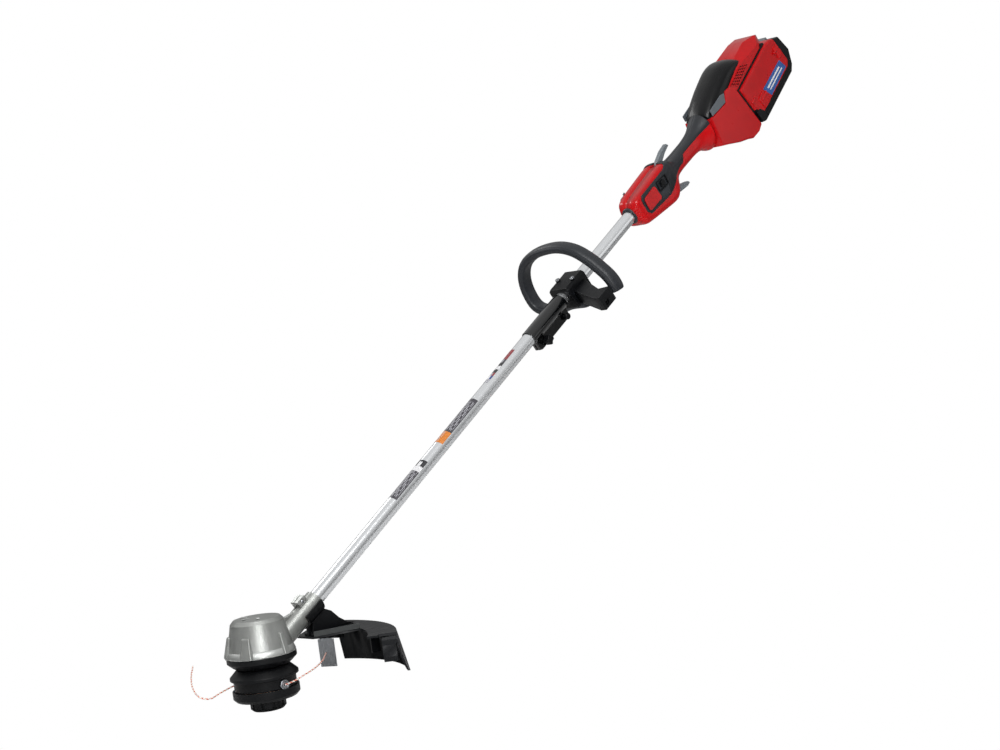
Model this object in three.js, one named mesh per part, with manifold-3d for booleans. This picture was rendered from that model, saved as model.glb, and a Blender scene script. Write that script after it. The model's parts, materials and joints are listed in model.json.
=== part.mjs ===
// Battery string trimmer: a split straight boom with a bump-feed head, in its working attitude.
// Millimetres, +Z up. The origin is the centre of the bump knob's ground face, +X points along the
// ground from the head towards the operator, and the spin axis of the head is the Z axis.
import * as THREE from "three";
import { mergeVertices } from "three/addons/utils/BufferGeometryUtils.js";
import Module from "manifold-3d";

const wasm = await Module();
wasm.setup();

// Driving dimensions
const boomAngle = THREE.MathUtils.degToRad(32.8); // boom above the ground
const apexHeight = 71.9; // where the boom axis meets the spin axis
const gap = 0.3; // clearance between touching pieces
const tubeRadius = 12.7;
const tubeWall = 1.5;
const shaftRadius = 4;
const lowerTube = { start: 62, end: 850 };
const upperTube = { start: 851, end: 1290 };
const coupler = { start: 794, end: 903, radius: 14.8, knobAt: 820, buttonAt: 888, flangeZ: -24 };
const assist = { at: 940, lean: Math.atan(0.25), pivot: -40, depth: 28, clampLength: 56 };
const ringTeeth = 26;
const pinionTeeth = 12;
const ringCone = THREE.MathUtils.degToRad(40);
const coneLength = 43.6; // apex to the outer end of the bevel teeth
const toothWidth = 10;
const spindleRadius = 6;
const head = { coverRadius: 52.6, bodyRadius: 49, flangeRadius: 53.8, knobRadius: 28.2, eyeletHeight: 40.5 };
const guard = { top: 93, bottom: 26, rim: 213, flare: 13, from: -48, to: 18, wall: 3.2 };
const cutterAzimuth = THREE.MathUtils.degToRad(23.6);
const motor = { start: 1478, end: 1524, stator: 30, rotor: 16 };
const housingHalf = 36; // half width of the motor housing
const frontHalf = 27; // half width of the front housing
const gripHalf = 15;
const battery = { x: 1656, z: -24, tilt: THREE.MathUtils.degToRad(10.5), half: 38 };

const paint = (color, roughness, metalness = 0) => () =>
  new THREE.MeshStandardMaterial({ color, roughness, metalness });
const redPlastic = paint(0xc41a22, 0.32);
const blackPlastic = paint(0x17181b, 0.45);
const glossBlack = paint(0x0c0d0f, 0.15);
const softGrip = paint(0x2b2d31, 0.8);
const greyPlastic = paint(0x6d7176, 0.5);
const aluminium = paint(0xc9ccd0, 0.3, 0.9);
const castAlloy = paint(0xa8abae, 0.42, 0.7);
const steel = paint(0x8f9296, 0.35, 0.9);
const copper = paint(0xb06a3a, 0.4, 0.8);
const boardGreen = paint(0x1f5b3a, 0.5);
const greenCell = paint(0x3b7f5e, 0.4);
const linePlastic = paint(0xe8b79a, 0.5);

// A closed manifold solid from a three.js geometry, turned so that its faces point out.
function solid(geometry) {
  if (geometry instanceof wasm.Manifold) return geometry;
  const bare = geometry.clone();
  bare.deleteAttribute("normal");
  bare.deleteAttribute("uv");
  const merged = mergeVertices(bare, 1e-3);
  const index = Array.from(merged.index.array);
  const place = merged.attributes.position.array;
  const triangles = [];
  let volume = 0;
  for (let i = 0; i < index.length; i += 3) {
    const [a, b, c] = index.slice(i, i + 3);
    if (a === b || b === c || c === a) continue;
    triangles.push(a, b, c);
    const [p, q, r] = [a, b, c].map((v) => new THREE.Vector3().fromArray(place, 3 * v));
    volume += p.dot(q.cross(r));
  }
  if (volume < 0) triangles.reverse();
  const mesh = new wasm.Mesh({
    numProp: 3,
    vertProperties: new Float32Array(place),
    triVerts: new Uint32Array(triangles),
  });
  return new wasm.Manifold(mesh);
}

const join = (first, ...others) => others.reduce((sum, one) => sum.add(solid(one)), solid(first));
const cut = (first, ...others) => others.reduce((rest, one) => rest.subtract(solid(one)), solid(first));
const common = (first, second) => solid(first).intersect(solid(second));

// Adds one named mesh to a group.
function piece(group, name, shape, material) {
  const mesh = solid(shape).getMesh();
  const geometry = new THREE.BufferGeometry();
  geometry.setAttribute("position", new THREE.BufferAttribute(new Float32Array(mesh.vertProperties), 3));
  geometry.setIndex(new THREE.BufferAttribute(new Uint32Array(mesh.triVerts), 1));
  const node = new THREE.Mesh(geometry.toNonIndexed(), material());
  node.geometry.computeVertexNormals();
  node.name = name;
  group.add(node);
  return node;
}

// A box from its lowest and highest corners.
function block(x0, x1, y0, y1, z0, z1) {
  const box = new THREE.BoxGeometry(x1 - x0, y1 - y0, z1 - z0);
  return box.translate((x0 + x1) / 2, (y0 + y1) / 2, (z0 + z1) / 2);
}

// A turned body about Z from [radius, height] points; a ring's profile closes on itself.
function turned(profile, sides = 24) {
  const onAxis = profile[0][0] === 0;
  const points = (onAxis ? profile : [...profile, profile[0]]).map(([r, z]) => new THREE.Vector2(r, z));
  return new THREE.LatheGeometry(points, sides).rotateX(Math.PI / 2);
}

const ring = (inner, outer, z0, z1, sides = 24) =>
  turned([[inner, z0], [outer, z0], [outer, z1], [inner, z1]], sides);
const disc = (radius, z0, z1, sides = 24) => turned([[0, z0], [radius, z0], [radius, z1], [0, z1]], sides);
const alongX = (geometry) => geometry.rotateY(Math.PI / 2);
const alongY = (geometry) => geometry.rotateX(-Math.PI / 2);

function outline(points) {
  return new THREE.Shape(points.map(([x, y]) => new THREE.Vector2(x, y)));
}

// An outline in x and y, raised from z0 to z1, with rounded edges where bevel is given.
function raised(points, z0, z1, bevel = 0) {
  const shape = points instanceof THREE.Shape ? points : outline(points);
  const geometry = new THREE.ExtrudeGeometry(shape, {
    depth: z1 - z0 - 2 * bevel,
    bevelEnabled: bevel > 0,
    bevelThickness: bevel,
    bevelSize: bevel,
    bevelOffset: -bevel,
    bevelSegments: 2,
    curveSegments: 10,
  });
  return geometry.translate(0, 0, z0 + bevel);
}

// An outline in x and z, widened from y0 to y1.
const sideways = (points, y0, y1, bevel = 0) =>
  raised(points, -y1, -y0, bevel).rotateX(Math.PI / 2);

// An outline in y and z, lengthened along x from x0 to x1.
const lengthways = (points, x0, x1, bevel = 0) =>
  raised(points, x0, x1, bevel).rotateX(Math.PI / 2).rotateZ(Math.PI / 2);

// Scales x and y linearly with z: factor(z) is the scale at that height.
function taper(geometry, factor) {
  const place = geometry.attributes.position;
  for (let i = 0; i < place.count; i += 1) {
    const scale = factor(place.getZ(i));
    place.setX(i, place.getX(i) * scale);
    place.setY(i, place.getY(i) * scale);
  }
  return geometry;
}

// Moves every edge of a counterclockwise outline inwards by one distance.
function inset(points, distance) {
  return points.map((here, i) => {
    const before = points[(i + points.length - 1) % points.length];
    const after = points[(i + 1) % points.length];
    const a = new THREE.Vector2(here[0] - before[0], here[1] - before[1]).normalize();
    const b = new THREE.Vector2(after[0] - here[0], after[1] - here[1]).normalize();
    const normal = new THREE.Vector2(-a.y - b.y, a.x + b.x).normalize();
    const reach = distance / Math.max(0.5, normal.dot(new THREE.Vector2(-a.y, a.x)));
    return [here[0] + normal.x * reach, here[1] + normal.y * reach];
  });
}

// A round tube or cord along points, as an extruded section.
function cordAlong(points, radius, steps, sides = 8) {
  const curve = new THREE.CatmullRomCurve3(points.map((p) => new THREE.Vector3(...p)));
  const section = new THREE.Shape();
  for (let i = 0; i < sides; i += 1) {
    const angle = (2 * Math.PI * i) / sides;
    const move = i === 0 ? "moveTo" : "lineTo";
    section[move](radius * Math.cos(angle), radius * Math.sin(angle));
  }
  return new THREE.ExtrudeGeometry(section, { steps, extrudePath: curve, bevelEnabled: false });
}

// A straight bevel gear about Z whose teeth point at the origin.
function bevelGear(teeth, coneAngle, phase, addendum = 1.5, dedendum = 2.2) {
  const height = coneLength * Math.cos(coneAngle);
  const pitch = coneLength * Math.sin(coneAngle);
  const foot = (coneLength - toothWidth) * Math.cos(coneAngle);
  const tip = pitch + addendum * Math.cos(coneAngle);
  const root = pitch - dedendum * Math.cos(coneAngle);
  const step = (2 * Math.PI) / teeth;
  const points = [];
  for (let i = 0; i < teeth; i += 1) {
    for (const [radius, side] of [[root, -0.25], [tip, -0.12], [tip, 0.12], [root, 0.25]]) {
      const angle = phase + (i + side) * step;
      points.push([radius * Math.cos(angle), radius * Math.sin(angle)]);
    }
  }
  return taper(raised(points, foot, height), (z) => z / height);
}

const tool = new THREE.Group();
const boom = new THREE.Group(); // x runs up the boom axis from the apex, z is square to it
boom.position.set(0, 0, apexHeight);
boom.rotation.y = -boomAngle;
tool.add(boom);

// Moves a shape drawn in the boom's own axes into the ground frame.
const fromBoom = (geometry) => geometry.rotateY(-boomAngle).translate(0, 0, apexHeight);

function buildHead() {
  const { coverRadius, bodyRadius, flangeRadius, knobRadius, eyeletHeight } = head;
  let knob = solid(turned([[0, 0], [24, 0], [knobRadius, 4], [knobRadius, 21.7], [0, 21.7]], 40));
  for (let i = 0; i < 10; i += 1) {
    const slot = block(knobRadius - 2, knobRadius + 2, -2, 2, 5, 17).rotateZ((i * Math.PI) / 5);
    knob = cut(knob, slot);
  }
  piece(tool, "bump_knob", knob, blackPlastic);
  const spool = [[7, 22], [44, 22], [44, 24.5], [15, 24.5], [15, 48], [44, 48], [44, 50.5], [7, 50.5]];
  piece(tool, "spool", turned(spool), greyPlastic);
  piece(tool, "wound_line", ring(15 + gap, 36, 24.5 + gap, 48 - gap), linePlastic);
  piece(tool, "bump_spring", ring(10, 13, 50.5 + gap, 60.5 - gap, 20), steel);
  const cover = [[29.2, 18], [47.6, 18], [coverRadius, 23], [coverRadius, 34.8], [49.6, 34.8],
    [49.6, 21], [29.2, 21]];
  piece(tool, "head_lower_cover", turned(cover, 36), blackPlastic);
  const body = [[spindleRadius + gap, 60.5], [45.5, 60.5], [45.5, 35.1], [bodyRadius, 35.1],
    [bodyRadius, 50.6], [flangeRadius, 51.6], [flangeRadius, 56], [42, 67.5], [spindleRadius + gap, 67.5]];
  const hole = disc(3.8, -60, 60).rotateX(Math.PI / 2).translate(0, 0, eyeletHeight);
  piece(tool, "head_upper_case", cut(turned(body, 36), hole), blackPlastic);
  for (const [name, side] of [["eyelet_near", -1], ["eyelet_far", 1]]) {
    const bush = turned([[1.8, 44.8], [3.4, 44.8], [3.4, 49.4], [4.6, 49.4], [4.6, 51], [1.8, 51]], 16);
    piece(tool, name, bush.rotateX((-side * Math.PI) / 2).translate(0, 0, eyeletHeight), steel);
  }
}

// The two free ends of cutting line, each 2.4 mm thick and lying where it was last thrown.
function buildWhips() {
  const near = [[0, -51.4, 40.5], [9, -66, 46], [27, -66, 50], [51, -62, 54.5], [83, -42, 58],
    [118, -8, 61]];
  const far = [[0, 51.4, 40.5], [-20, 62, 36], [-45, 63, 31], [-67, 59, 28], [-77, 70, 32], [-72, 93, 42],
    [-55, 121, 54], [-30, 150, 66]];
  piece(tool, "line_near", cordAlong(near, 1.2, 24), linePlastic);
  piece(tool, "line_far", cordAlong(far, 1.2, 28), linePlastic);
}

function buildGearCase() {
  const base = [[16.2, 68.2], [41, 68.2], [47, 72], [55, 79], [55, 86.8], [50.4, 86.8], [50.4, 81],
    [44, 75], [16.2, 75]];
  piece(tool, "gear_case_base", turned(base, 36), blackPlastic);
  const outer = [[0, 87.1], [53.4, 87.1], [51, 97], [42.1, 138], [37, 143.5], [20, 145.6], [0, 146]];
  const inner = [[0, 80], [50.2, 80], [50.2, 87], [47.8, 97], [39, 136], [0, 140]];
  const boss = cut(disc(15, 116, 142), disc(11.3, 115, 124));
  const collar = alongX(disc(17, 20, 140, 32));
  const clampBoss = block(106, 124, -9, 9, 10, 26);
  const gusset = sideways([[20, 0], [96, 0], [96, 16], [64, 27], [20, 40]], -4, 4, 1);
  const shellOuter = join(turned(outer, 36), fromBoom(collar), fromBoom(clampBoss), fromBoom(gusset));
  const bore = fromBoom(alongX(disc(tubeRadius + gap, 44, 145, 32)));
  const slit = fromBoom(block(98, 145, -1, 1, 0, 40));
  const boltHole = fromBoom(alongY(disc(2.9, -20, 20, 16)).translate(115, 0, 20));
  const hollow = cut(shellOuter, turned(inner, 30), bore, slit, boltHole);
  const aboveBase = block(-200, 200, -200, 200, 87.1, 200);
  const shell = common(join(hollow, common(boss, turned(outer, 36))), aboveBase);
  piece(tool, "gear_case", shell, castAlloy);
  const bolt = turned([[0, -14], [4.6, -14], [4.6, -9.3], [2.5, -9.3], [2.5, 12], [0, 12]], 12);
  piece(boom, "collar_bolt", alongY(bolt).translate(115, 0, 20), steel);
}

function buildBevelDrive() {
  piece(tool, "spindle_bearing_lower", ring(spindleRadius + gap, 15.9, 69, 75.5), steel);
  piece(tool, "spindle_bearing_upper", ring(spindleRadius + gap, 11, 117.5, 123.7), steel);
  const spindle = disc(spindleRadius, 36 - apexHeight, 123 - apexHeight, 20);
  const gear = join(bevelGear(ringTeeth, ringCone, 0), disc(13, 30, 42, 24), spindle);
  piece(tool, "output_gear", gear, steel).position.z = apexHeight;
  const pinionCone = Math.PI / 2 - boomAngle - ringCone;
  const pinion = bevelGear(pinionTeeth, pinionCone, Math.PI / pinionTeeth);
  piece(boom, "bevel_pinion", cut(alongX(pinion), alongX(disc(shaftRadius + gap, 20, 60, 16))), steel);
  piece(boom, "pinion_bearing", alongX(ring(shaftRadius + gap, 10.9, 64, 71, 24)), steel);
}

function buildGuard() {
  const { top, bottom, rim, flare, from, to, wall } = guard;
  const screwPlace = 152;
  const turn = THREE.MathUtils.degToRad;
  const sector = (inner, outer, start, end) => {
    const shape = new THREE.Shape();
    shape.absarc(0, 0, outer, turn(start), turn(end), false);
    shape.absarc(0, 0, inner, turn(end), turn(start), true);
    return shape;
  };
  const skirt = raised(sector(rim - wall, rim, from, to), bottom, top);
  taper(skirt, (z) => 1 + ((top - z) / (top - bottom)) * (flare / rim));
  const band = raised(sector(168, rim - 1, from, 30), top - wall, top);
  const plate = raised([[90, -18], [160, -49], [190, -40], [186, 60], [176, 84], [90, 24]], top - wall, top);
  const holder = raised(sector(200, 204.6, 13, 30), 66, top - 1);
  const rib = raised(sector(196, rim - 1, -9, -8), 44, top - 1);
  const endRib = raised(sector(190, rim - 1, from, from + 1.2), 50, top - 1);
  const screwHole = disc(2.9, 80, 110, 12).translate(screwPlace, 0, 0);
  piece(tool, "guard", cut(join(skirt, band, plate, holder, rib, endRib), screwHole), blackPlastic);

  const blade = join(block(205, 207, -15, 15, 17.5, 64), block(205, 207, -11, 11, 60, 86));
  piece(tool, "line_cutter", blade, steel).rotation.z = cutterAzimuth;

  const fin = sideways([[94, 94], [188, 94], [166, 101], [148, 113], [134, 128], [94, 118]], -2.5, 2.5);
  const foot = block(96, 178, -12, 12, top + gap, top + 4);
  const saddle = fromBoom(alongX(disc(20.5, 98, 138, 32)));
  const clear = fromBoom(alongX(disc(17 + gap, 50, 170, 32)));
  const upper = fromBoom(block(50, 200, -40, 40, 3, 60));
  const bracket = cut(join(fin, foot, saddle), clear, upper, screwHole);
  piece(tool, "guard_bracket", bracket, blackPlastic);
  const screw = turned([[0, 85.5], [5, 85.5], [5, 89.5], [2.5, 89.5], [2.5, 99], [0, 99]], 12);
  piece(tool, "guard_screw", screw.translate(screwPlace, 0, 0), steel);
}

const tube = (start, end) => alongX(ring(tubeRadius - tubeWall, tubeRadius, start, end, 32));

function buildBoom() {
  piece(boom, "lower_tube", tube(lowerTube.start, lowerTube.end), aluminium);
  piece(boom, "upper_tube", tube(upperTube.start, upperTube.end), aluminium);
  const square = block(lowerTube.end - 6, lowerTube.end + 12, -3, 3, -3, 3);
  const lowerShaft = join(alongX(disc(shaftRadius, 46, lowerTube.end - 4, 16)), square);
  const flat = block(30, 46.2, -shaftRadius - 1, shaftRadius + 1, -shaftRadius, shaftRadius);
  const tip = common(alongX(disc(shaftRadius, 33, 46.5, 16)), flat);
  piece(boom, "lower_drive_shaft", join(lowerShaft, tip), steel);
  const socketHole = block(lowerTube.end, lowerTube.end + 15, -3.5, 3.5, -3.5, 3.5);
  const socket = alongX(disc(8.5, lowerTube.end + 4, lowerTube.end + 24, 20));
  const longShaft = alongX(disc(shaftRadius, lowerTube.end + 23, 1446, 16));
  const motorSocket = alongX(disc(shaftRadius + gap, 1448, 1460, 16));
  const motorCoupling = cut(alongX(disc(7.5, 1441, 1457, 20)), motorSocket);
  const upperShaft = join(cut(socket, socketHole), longShaft, motorCoupling);
  piece(boom, "upper_drive_shaft", upperShaft, steel);
}

function buildCoupler() {
  const { start, end, radius, knobAt, buttonAt, flangeZ } = coupler;
  const sleeve = alongX(disc(radius, start, end, 32));
  const flange = sideways([[start + 4, 0], [start + 4, flangeZ - 5], [start + 10, flangeZ - 8],
    [end - 8, flangeZ - 8], [end - 3, flangeZ - 4], [end - 3, 0]], -7, 7, 1.5);
  const bore = alongX(disc(tubeRadius + gap, start - 5, end + 5, 32));
  const slot = block(start - 5, knobAt + 40, -1.2, 1.2, -40, 0);
  const knobHole = alongY(disc(3.3, -20, 20, 12)).translate(knobAt, 0, flangeZ);
  const buttonHole = alongY(disc(3.3, -20, 20, 12)).translate(buttonAt, 0, flangeZ);
  piece(boom, "coupler_sleeve", cut(join(sleeve, flange), bore, slot, knobHole, buttonHole), glossBlack);
  const lobes = [];
  for (let i = 0; i < 24; i += 1) {
    const reach = i % 6 < 3 ? 9 : 6.5;
    lobes.push([reach * Math.cos((i * Math.PI) / 12), reach * Math.sin((i * Math.PI) / 12)]);
  }
  const knobHead = alongY(raised(lobes, -20, -7.5, 1)).translate(knobAt, 0, flangeZ);
  const knobStem = alongY(disc(3, -10, 12, 12)).translate(knobAt, 0, flangeZ);
  piece(boom, "coupler_knob", join(knobHead, knobStem), blackPlastic);
  const button = turned([[0, -16], [5, -16], [6.2, -14.5], [6.2, -12], [3, -12], [3, 2], [0, 2]], 16);
  piece(boom, "release_button", alongY(button).translate(buttonAt, 0, flangeZ), redPlastic);
}

function buildAssistHandle() {
  const { at, lean, pivot, depth, clampLength } = assist;
  const half = clampLength / 2;
  const bore = alongX(disc(tubeRadius + gap, at - 40, at + 40, 32));
  const boltPlaces = [-18.5, 18.5];
  const boltHoles = boltPlaces.map((y) => disc(2.9, -80, 80, 12).translate(at, y, 0));
  // Outlines in y and z, as thick along the boom as told.
  const across = (shape, thickness, bevel) => lengthways(shape, -thickness / 2, thickness / 2, bevel);
  const crown = [[-25, 0.2], [25, 0.2], [25, 15], [20, 20], [-20, 20], [-25, 15]];
  const sole = [[-25, -24.4], [25, -24.4], [25, -0.2], [-25, -0.2]];
  const upper = across(crown, 2 * half, 1.5).translate(at, 0, 0);
  const lower = across(sole, 2 * half, 1.5).translate(at, 0, 0);
  piece(boom, "assist_clamp_upper", cut(upper, bore, ...boltHoles), blackPlastic);
  piece(boom, "assist_clamp_lower", cut(lower, bore, ...boltHoles), blackPlastic);

  const loop = outline([[24, -57], [72, -47], [112, -34], [121, 6], [115, 36], [98, 60], [68, 76], [30, 84],
    [-10, 84], [-45, 76], [-76, 57], [-100, 29], [-119, -8], [-68, -49], [-24, -57]]);
  loop.holes.push(outline([[24, -25], [64, -33], [98, -24], [105, 6], [100, 30], [86, 48], [60, 62],
    [28, 69], [-8, 69], [-40, 62], [-66, 44], [-87, 20], [-99, -4], [-60, -34], [-24, -25]]));
  const armPlan = [[960, -25.3], [922, -25.3], [889, -106], [889, -119.5], [968, -119.5], [968, -98],
    [924, -98]];
  const armSpace = [[-140, -7.6], [-112, -7.6], [-90, -0.5], [-60, -19], [-24.2, -19], [-24.2, -70],
    [-140, -70]];
  const stand = (shape, thickness, bevel) =>
    across(shape, thickness, bevel).translate(0, 0, -pivot).rotateY(lean).translate(at, 0, pivot);
  const clampSpace = block(at - 60, at + 60, -25.4, 25.4, -24.75, 30);
  const nearLeg = stand(outline(armSpace), depth + 10, 0);
  const armRoom = raised(inset(armPlan, -gap), -22 - gap, 6 + gap);
  const ringBar = stand(loop, depth, 4.5);
  const frame = cut(ringBar, nearLeg, armRoom, clampSpace, ...boltHoles);
  piece(boom, "assist_loop", frame, softGrip);
  const endHole = block(896, 906, -125, -113, -17, -9);
  piece(boom, "assist_arm", cut(raised(armPlan, -22, 6, 1.2), endHole), blackPlastic);
  for (const [i, y] of boltPlaces.entries()) {
    const bolt = turned([[0, -50], [2.5, -50], [2.5, 20.3], [4.6, 20.3], [4.6, 24], [0, 24]], 12);
    piece(boom, `assist_bolt_${i + 1}`, bolt.translate(at, y, 0), steel);
  }
}

// Splits a body drawn across the middle plane into its left (-Y) and right halves.
function halves(group, name, body, material) {
  const far = 500;
  const left = block(-far, 3000, -far, -gap / 2, -far, far);
  const right = block(-far, 3000, gap / 2, far, -far, far);
  piece(group, `${name}_left`, common(body, left), material);
  piece(group, `${name}_right`, common(body, right), material);
}

// The grip's rear end, which widens to the motor housing; grow makes it thicker all round.
function flare(grow, end = 1444.6) {
  const rows = [[15, 1384], [16, 1402], [18.5, 1416], [23, 1428], [28, 1436], [30, 1440], [30, end]];
  const profile = rows.map(([radius, x]) => [radius + grow, x]);
  const shape = alongX(turned([[0, 1384], ...profile, [0, end]], 28));
  return shape.applyMatrix4(new THREE.Matrix4().set(1, 0, 0.19, 0, 0, 1, 0, 0, 0, 0, 1.2, -6, 0, 0, 0, 1));
}

function buildFrontHandle() {
  const front = [[1165, -28], [1264, -46], [1280, -45], [1302, -24], [1310, 14], [1300, 25], [1284, 32],
    [1196, 28], [1170, 24], [1160, 10], [1160, -14]];
  const grip = [[1290, -20], [1440, -21], [1440, 12], [1290, 12]];
  const frontRoom = inset(front, 3);
  const gripRoom = [[1270, -17.4], [1436, -18.4], [1436, 9.4], [1270, 9.4]];
  const frontBody = sideways(front, -frontHalf, frontHalf, 5);
  const outer = join(frontBody, sideways(grip, -gripHalf, gripHalf, 4), flare(0));
  const gripHollow = sideways(gripRoom, 2.6 - gripHalf, gripHalf - 2.6);
  const room = join(sideways(frontRoom, 3 - frontHalf, frontHalf - 3), gripHollow, flare(-2.6, 1442));
  const bore = alongX(disc(tubeRadius + gap, 1140, 1240, 32));
  const rearHole = alongX(disc(9, 1420, 1452, 20));
  const triggerSlot = block(1274, 1344, -6.3, 6.3, -60, -14);
  const leverSlot = block(1277, 1316, -5.3, 5.3, 8, 60);
  const pinPlaces = [[1284, -32], [1290, 17]];
  const pinHoles = pinPlaces.map(([x, z]) => alongY(disc(2.1, -40, 40, 12)).translate(x, 0, z));
  const bulkhead = common(outer, block(1206, 1211, -60, 60, -60, 60));
  const nose = join(cut(outer, room), bulkhead);
  halves(boom, "handle_shell", cut(nose, bore, rearHole, triggerSlot, leverSlot, ...pinHoles), redPlastic);

  const panel = [[1188, -18], [1258, -23], [1284, -14], [1292, 6], [1286, 23], [1190, 24], [1181, 17],
    [1180, -9]];
  const switchRoom = block(1232, 1268, -40, -20, 2, 16);
  const leftPanel = sideways(panel, -frontHalf - 2.8, -frontHalf - gap, 0.8);
  piece(boom, "side_panel_left", cut(leftPanel, switchRoom), softGrip);
  piece(boom, "side_panel_right", sideways(panel, frontHalf + gap, frontHalf + 2.8, 0.8), softGrip);
  piece(boom, "speed_switch", sideways([[1243, 4], [1257, 4], [1255, 14], [1245, 14]], -frontHalf - 5.5,
    -frontHalf - gap, 0.8), blackPlastic);
  const coverSide = [[1314, -7], [1344, -5], [1352, 7], [1402, 7], [1402, 15.4], [1314, 15.4]];
  const cover = sideways(coverSide, -17.8, 17.8);
  const underSide = [[1300, -10], [1445, -10], [1445, 12.4], [1300, 12.4]];
  const under = sideways(underSide, -gripHalf - gap, gripHalf + gap);
  const collar = common(cut(flare(2.8), flare(gap, 1460)), block(1384, 1460, -60, 60, 7, 60));
  piece(boom, "grip_overmould", cut(join(cover, collar), under, flare(gap, 1460)), softGrip);

  const blade = [[1280, -38], [1279, -29], [1285, -26], [1295, -29], [1312, -37], [1338, -47], [1341, -52],
    [1332, -54], [1308, -50], [1288, -45]];
  const triggerPin = alongY(disc(2.1 + gap, -20, 20, 12)).translate(1284, 0, -32);
  piece(boom, "trigger", cut(sideways(blade, -5.5, 5.5, 1.2), triggerPin), greyPlastic);
  const lever = [[1284, 14], [1297, 14], [1304, 24], [1322, 32], [1341, 37], [1337, 43], [1316, 41],
    [1292, 33], [1282, 24]];
  const leverPin = alongY(disc(2.1 + gap, -20, 20, 12)).translate(1290, 0, 19);
  piece(boom, "lockoff_lever", cut(sideways(lever, -4.6, 4.6, 1), leverPin), greyPlastic);
  piece(boom, "trigger_switch", block(1224, 1256, -9, 9, -34, -22), blackPlastic);
}

function buildMotor() {
  const { start, end, stator, rotor } = motor;
  piece(boom, "stator", alongX(ring(rotor + 1, stator, start, end, 32)), copper);
  const shaft = alongX(disc(shaftRadius, 1449, 1546, 16));
  piece(boom, "rotor", join(alongX(disc(rotor, start + 3, end - 3, 24)), shaft), steel);
  piece(boom, "motor_plate", alongX(ring(shaftRadius + gap, 31, 1470, 1475, 32)), aluminium);
  let fan = solid(alongX(ring(shaftRadius + gap, 9, 1530, 1541, 20)));
  fan = join(fan, alongX(ring(8, 27, 1530, 1532, 32)));
  for (let i = 0; i < 9; i += 1) {
    const vane = block(1531.5, 1541, -0.9, 0.9, 8.5, 26).rotateX((i * 2 * Math.PI) / 9);
    fan = join(fan, vane);
  }
  piece(boom, "cooling_fan", fan, blackPlastic);
}

const housingOutline = [[1440, -41], [1460, -51], [1493, -69], [1515, -78], [1531, -86.5], [1555, -87],
  [1572, -80], [1554.9, 12.6], [1695.3, 38.6], [1716, 43], [1712, 49], [1688, 60], [1654, 66], [1608, 61],
  [1590, 51], [1536, 34], [1519, 36], [1508, 16], [1449.5, 18]];

// The space the motor housing keeps to, with a roof sloping to both sides and a rounded rear end.
function housingLimit(shrink) {
  const roof = [[36, -100], [36, 46], [16, 70], [-16, 70], [-36, 46], [-36, -100]];
  const plan = [[1430, -36], [1670, -36], [1698, -22], [1711, -8], [1711, 8], [1698, 22], [1670, 36],
    [1430, 36]];
  return common(lengthways(inset(roof, shrink), 1400, 1800), raised(inset(plan, shrink), -100, 100));
}

function buildMotorHousing() {
  const outer = common(sideways(housingOutline, -housingHalf, housingHalf, 4), housingLimit(0));
  const hollow = sideways(inset(housingOutline, 3), 3 - housingHalf, housingHalf - 3);
  const room = common(hollow, housingLimit(3));
  const motorRoom = block(1452, 1586, -31, 31, 0, 80);
  const shaftHole = alongX(disc(10, 1435, 1455, 20));
  const leadHole = block(1604, 1616, -8, 8, 10, 40);
  const vent = [[1561, 20], [1617, 36], [1594, 46], [1541, 33]];
  const ventHole = sideways(inset(vent, 3), -60, 60);
  const shell = cut(outer, room, motorRoom, shaftHole, leadHole, ventHole);
  halves(boom, "motor_housing", shell, redPlastic);
  for (const [name, y] of [["left", -housingHalf - 1.9], ["right", housingHalf + gap]]) {
    const slats = [0, 1, 2, 3].map((i) => {
      const shift = 11 * i;
      return sideways([[1562 + shift, 23 + 0.29 * shift], [1567 + shift, 24.4 + 0.29 * shift],
        [1555 + shift, 33 + 0.29 * shift], [1550 + shift, 31.6 + 0.29 * shift]], y - 2, y + 4);
    });
    piece(boom, `vent_grille_${name}`, cut(sideways(vent, y, y + 1.6), ...slats), blackPlastic);
  }
  const tall = [[1449, 3], [1500, 5], [1590, 28], [1606, 48], [1604, 60.8], [1588, 66.5], [1566, 66.5],
    [1482, 48.5], [1452, 28]];
  const dome = [[35, -20], [35, 20], [32.5, 34], [26, 48], [17, 60], [7, 67]];
  const domeOutline = [...dome, ...dome.map(([y, z]) => [-y, z]).reverse()];
  const domeBody = lengthways(domeOutline, 1400, 1700);
  const cap = common(sideways(tall, 1 - housingHalf, housingHalf - 1, 8), domeBody);
  const capRoom = common(sideways(inset(tall, 3), -31, 31), lengthways(inset(domeOutline, 3), 1400, 1700));
  piece(boom, "motor_cover", cut(cap, capRoom, sideways(inset(housingOutline, -gap), -60, 60)), glossBlack);
}

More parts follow.
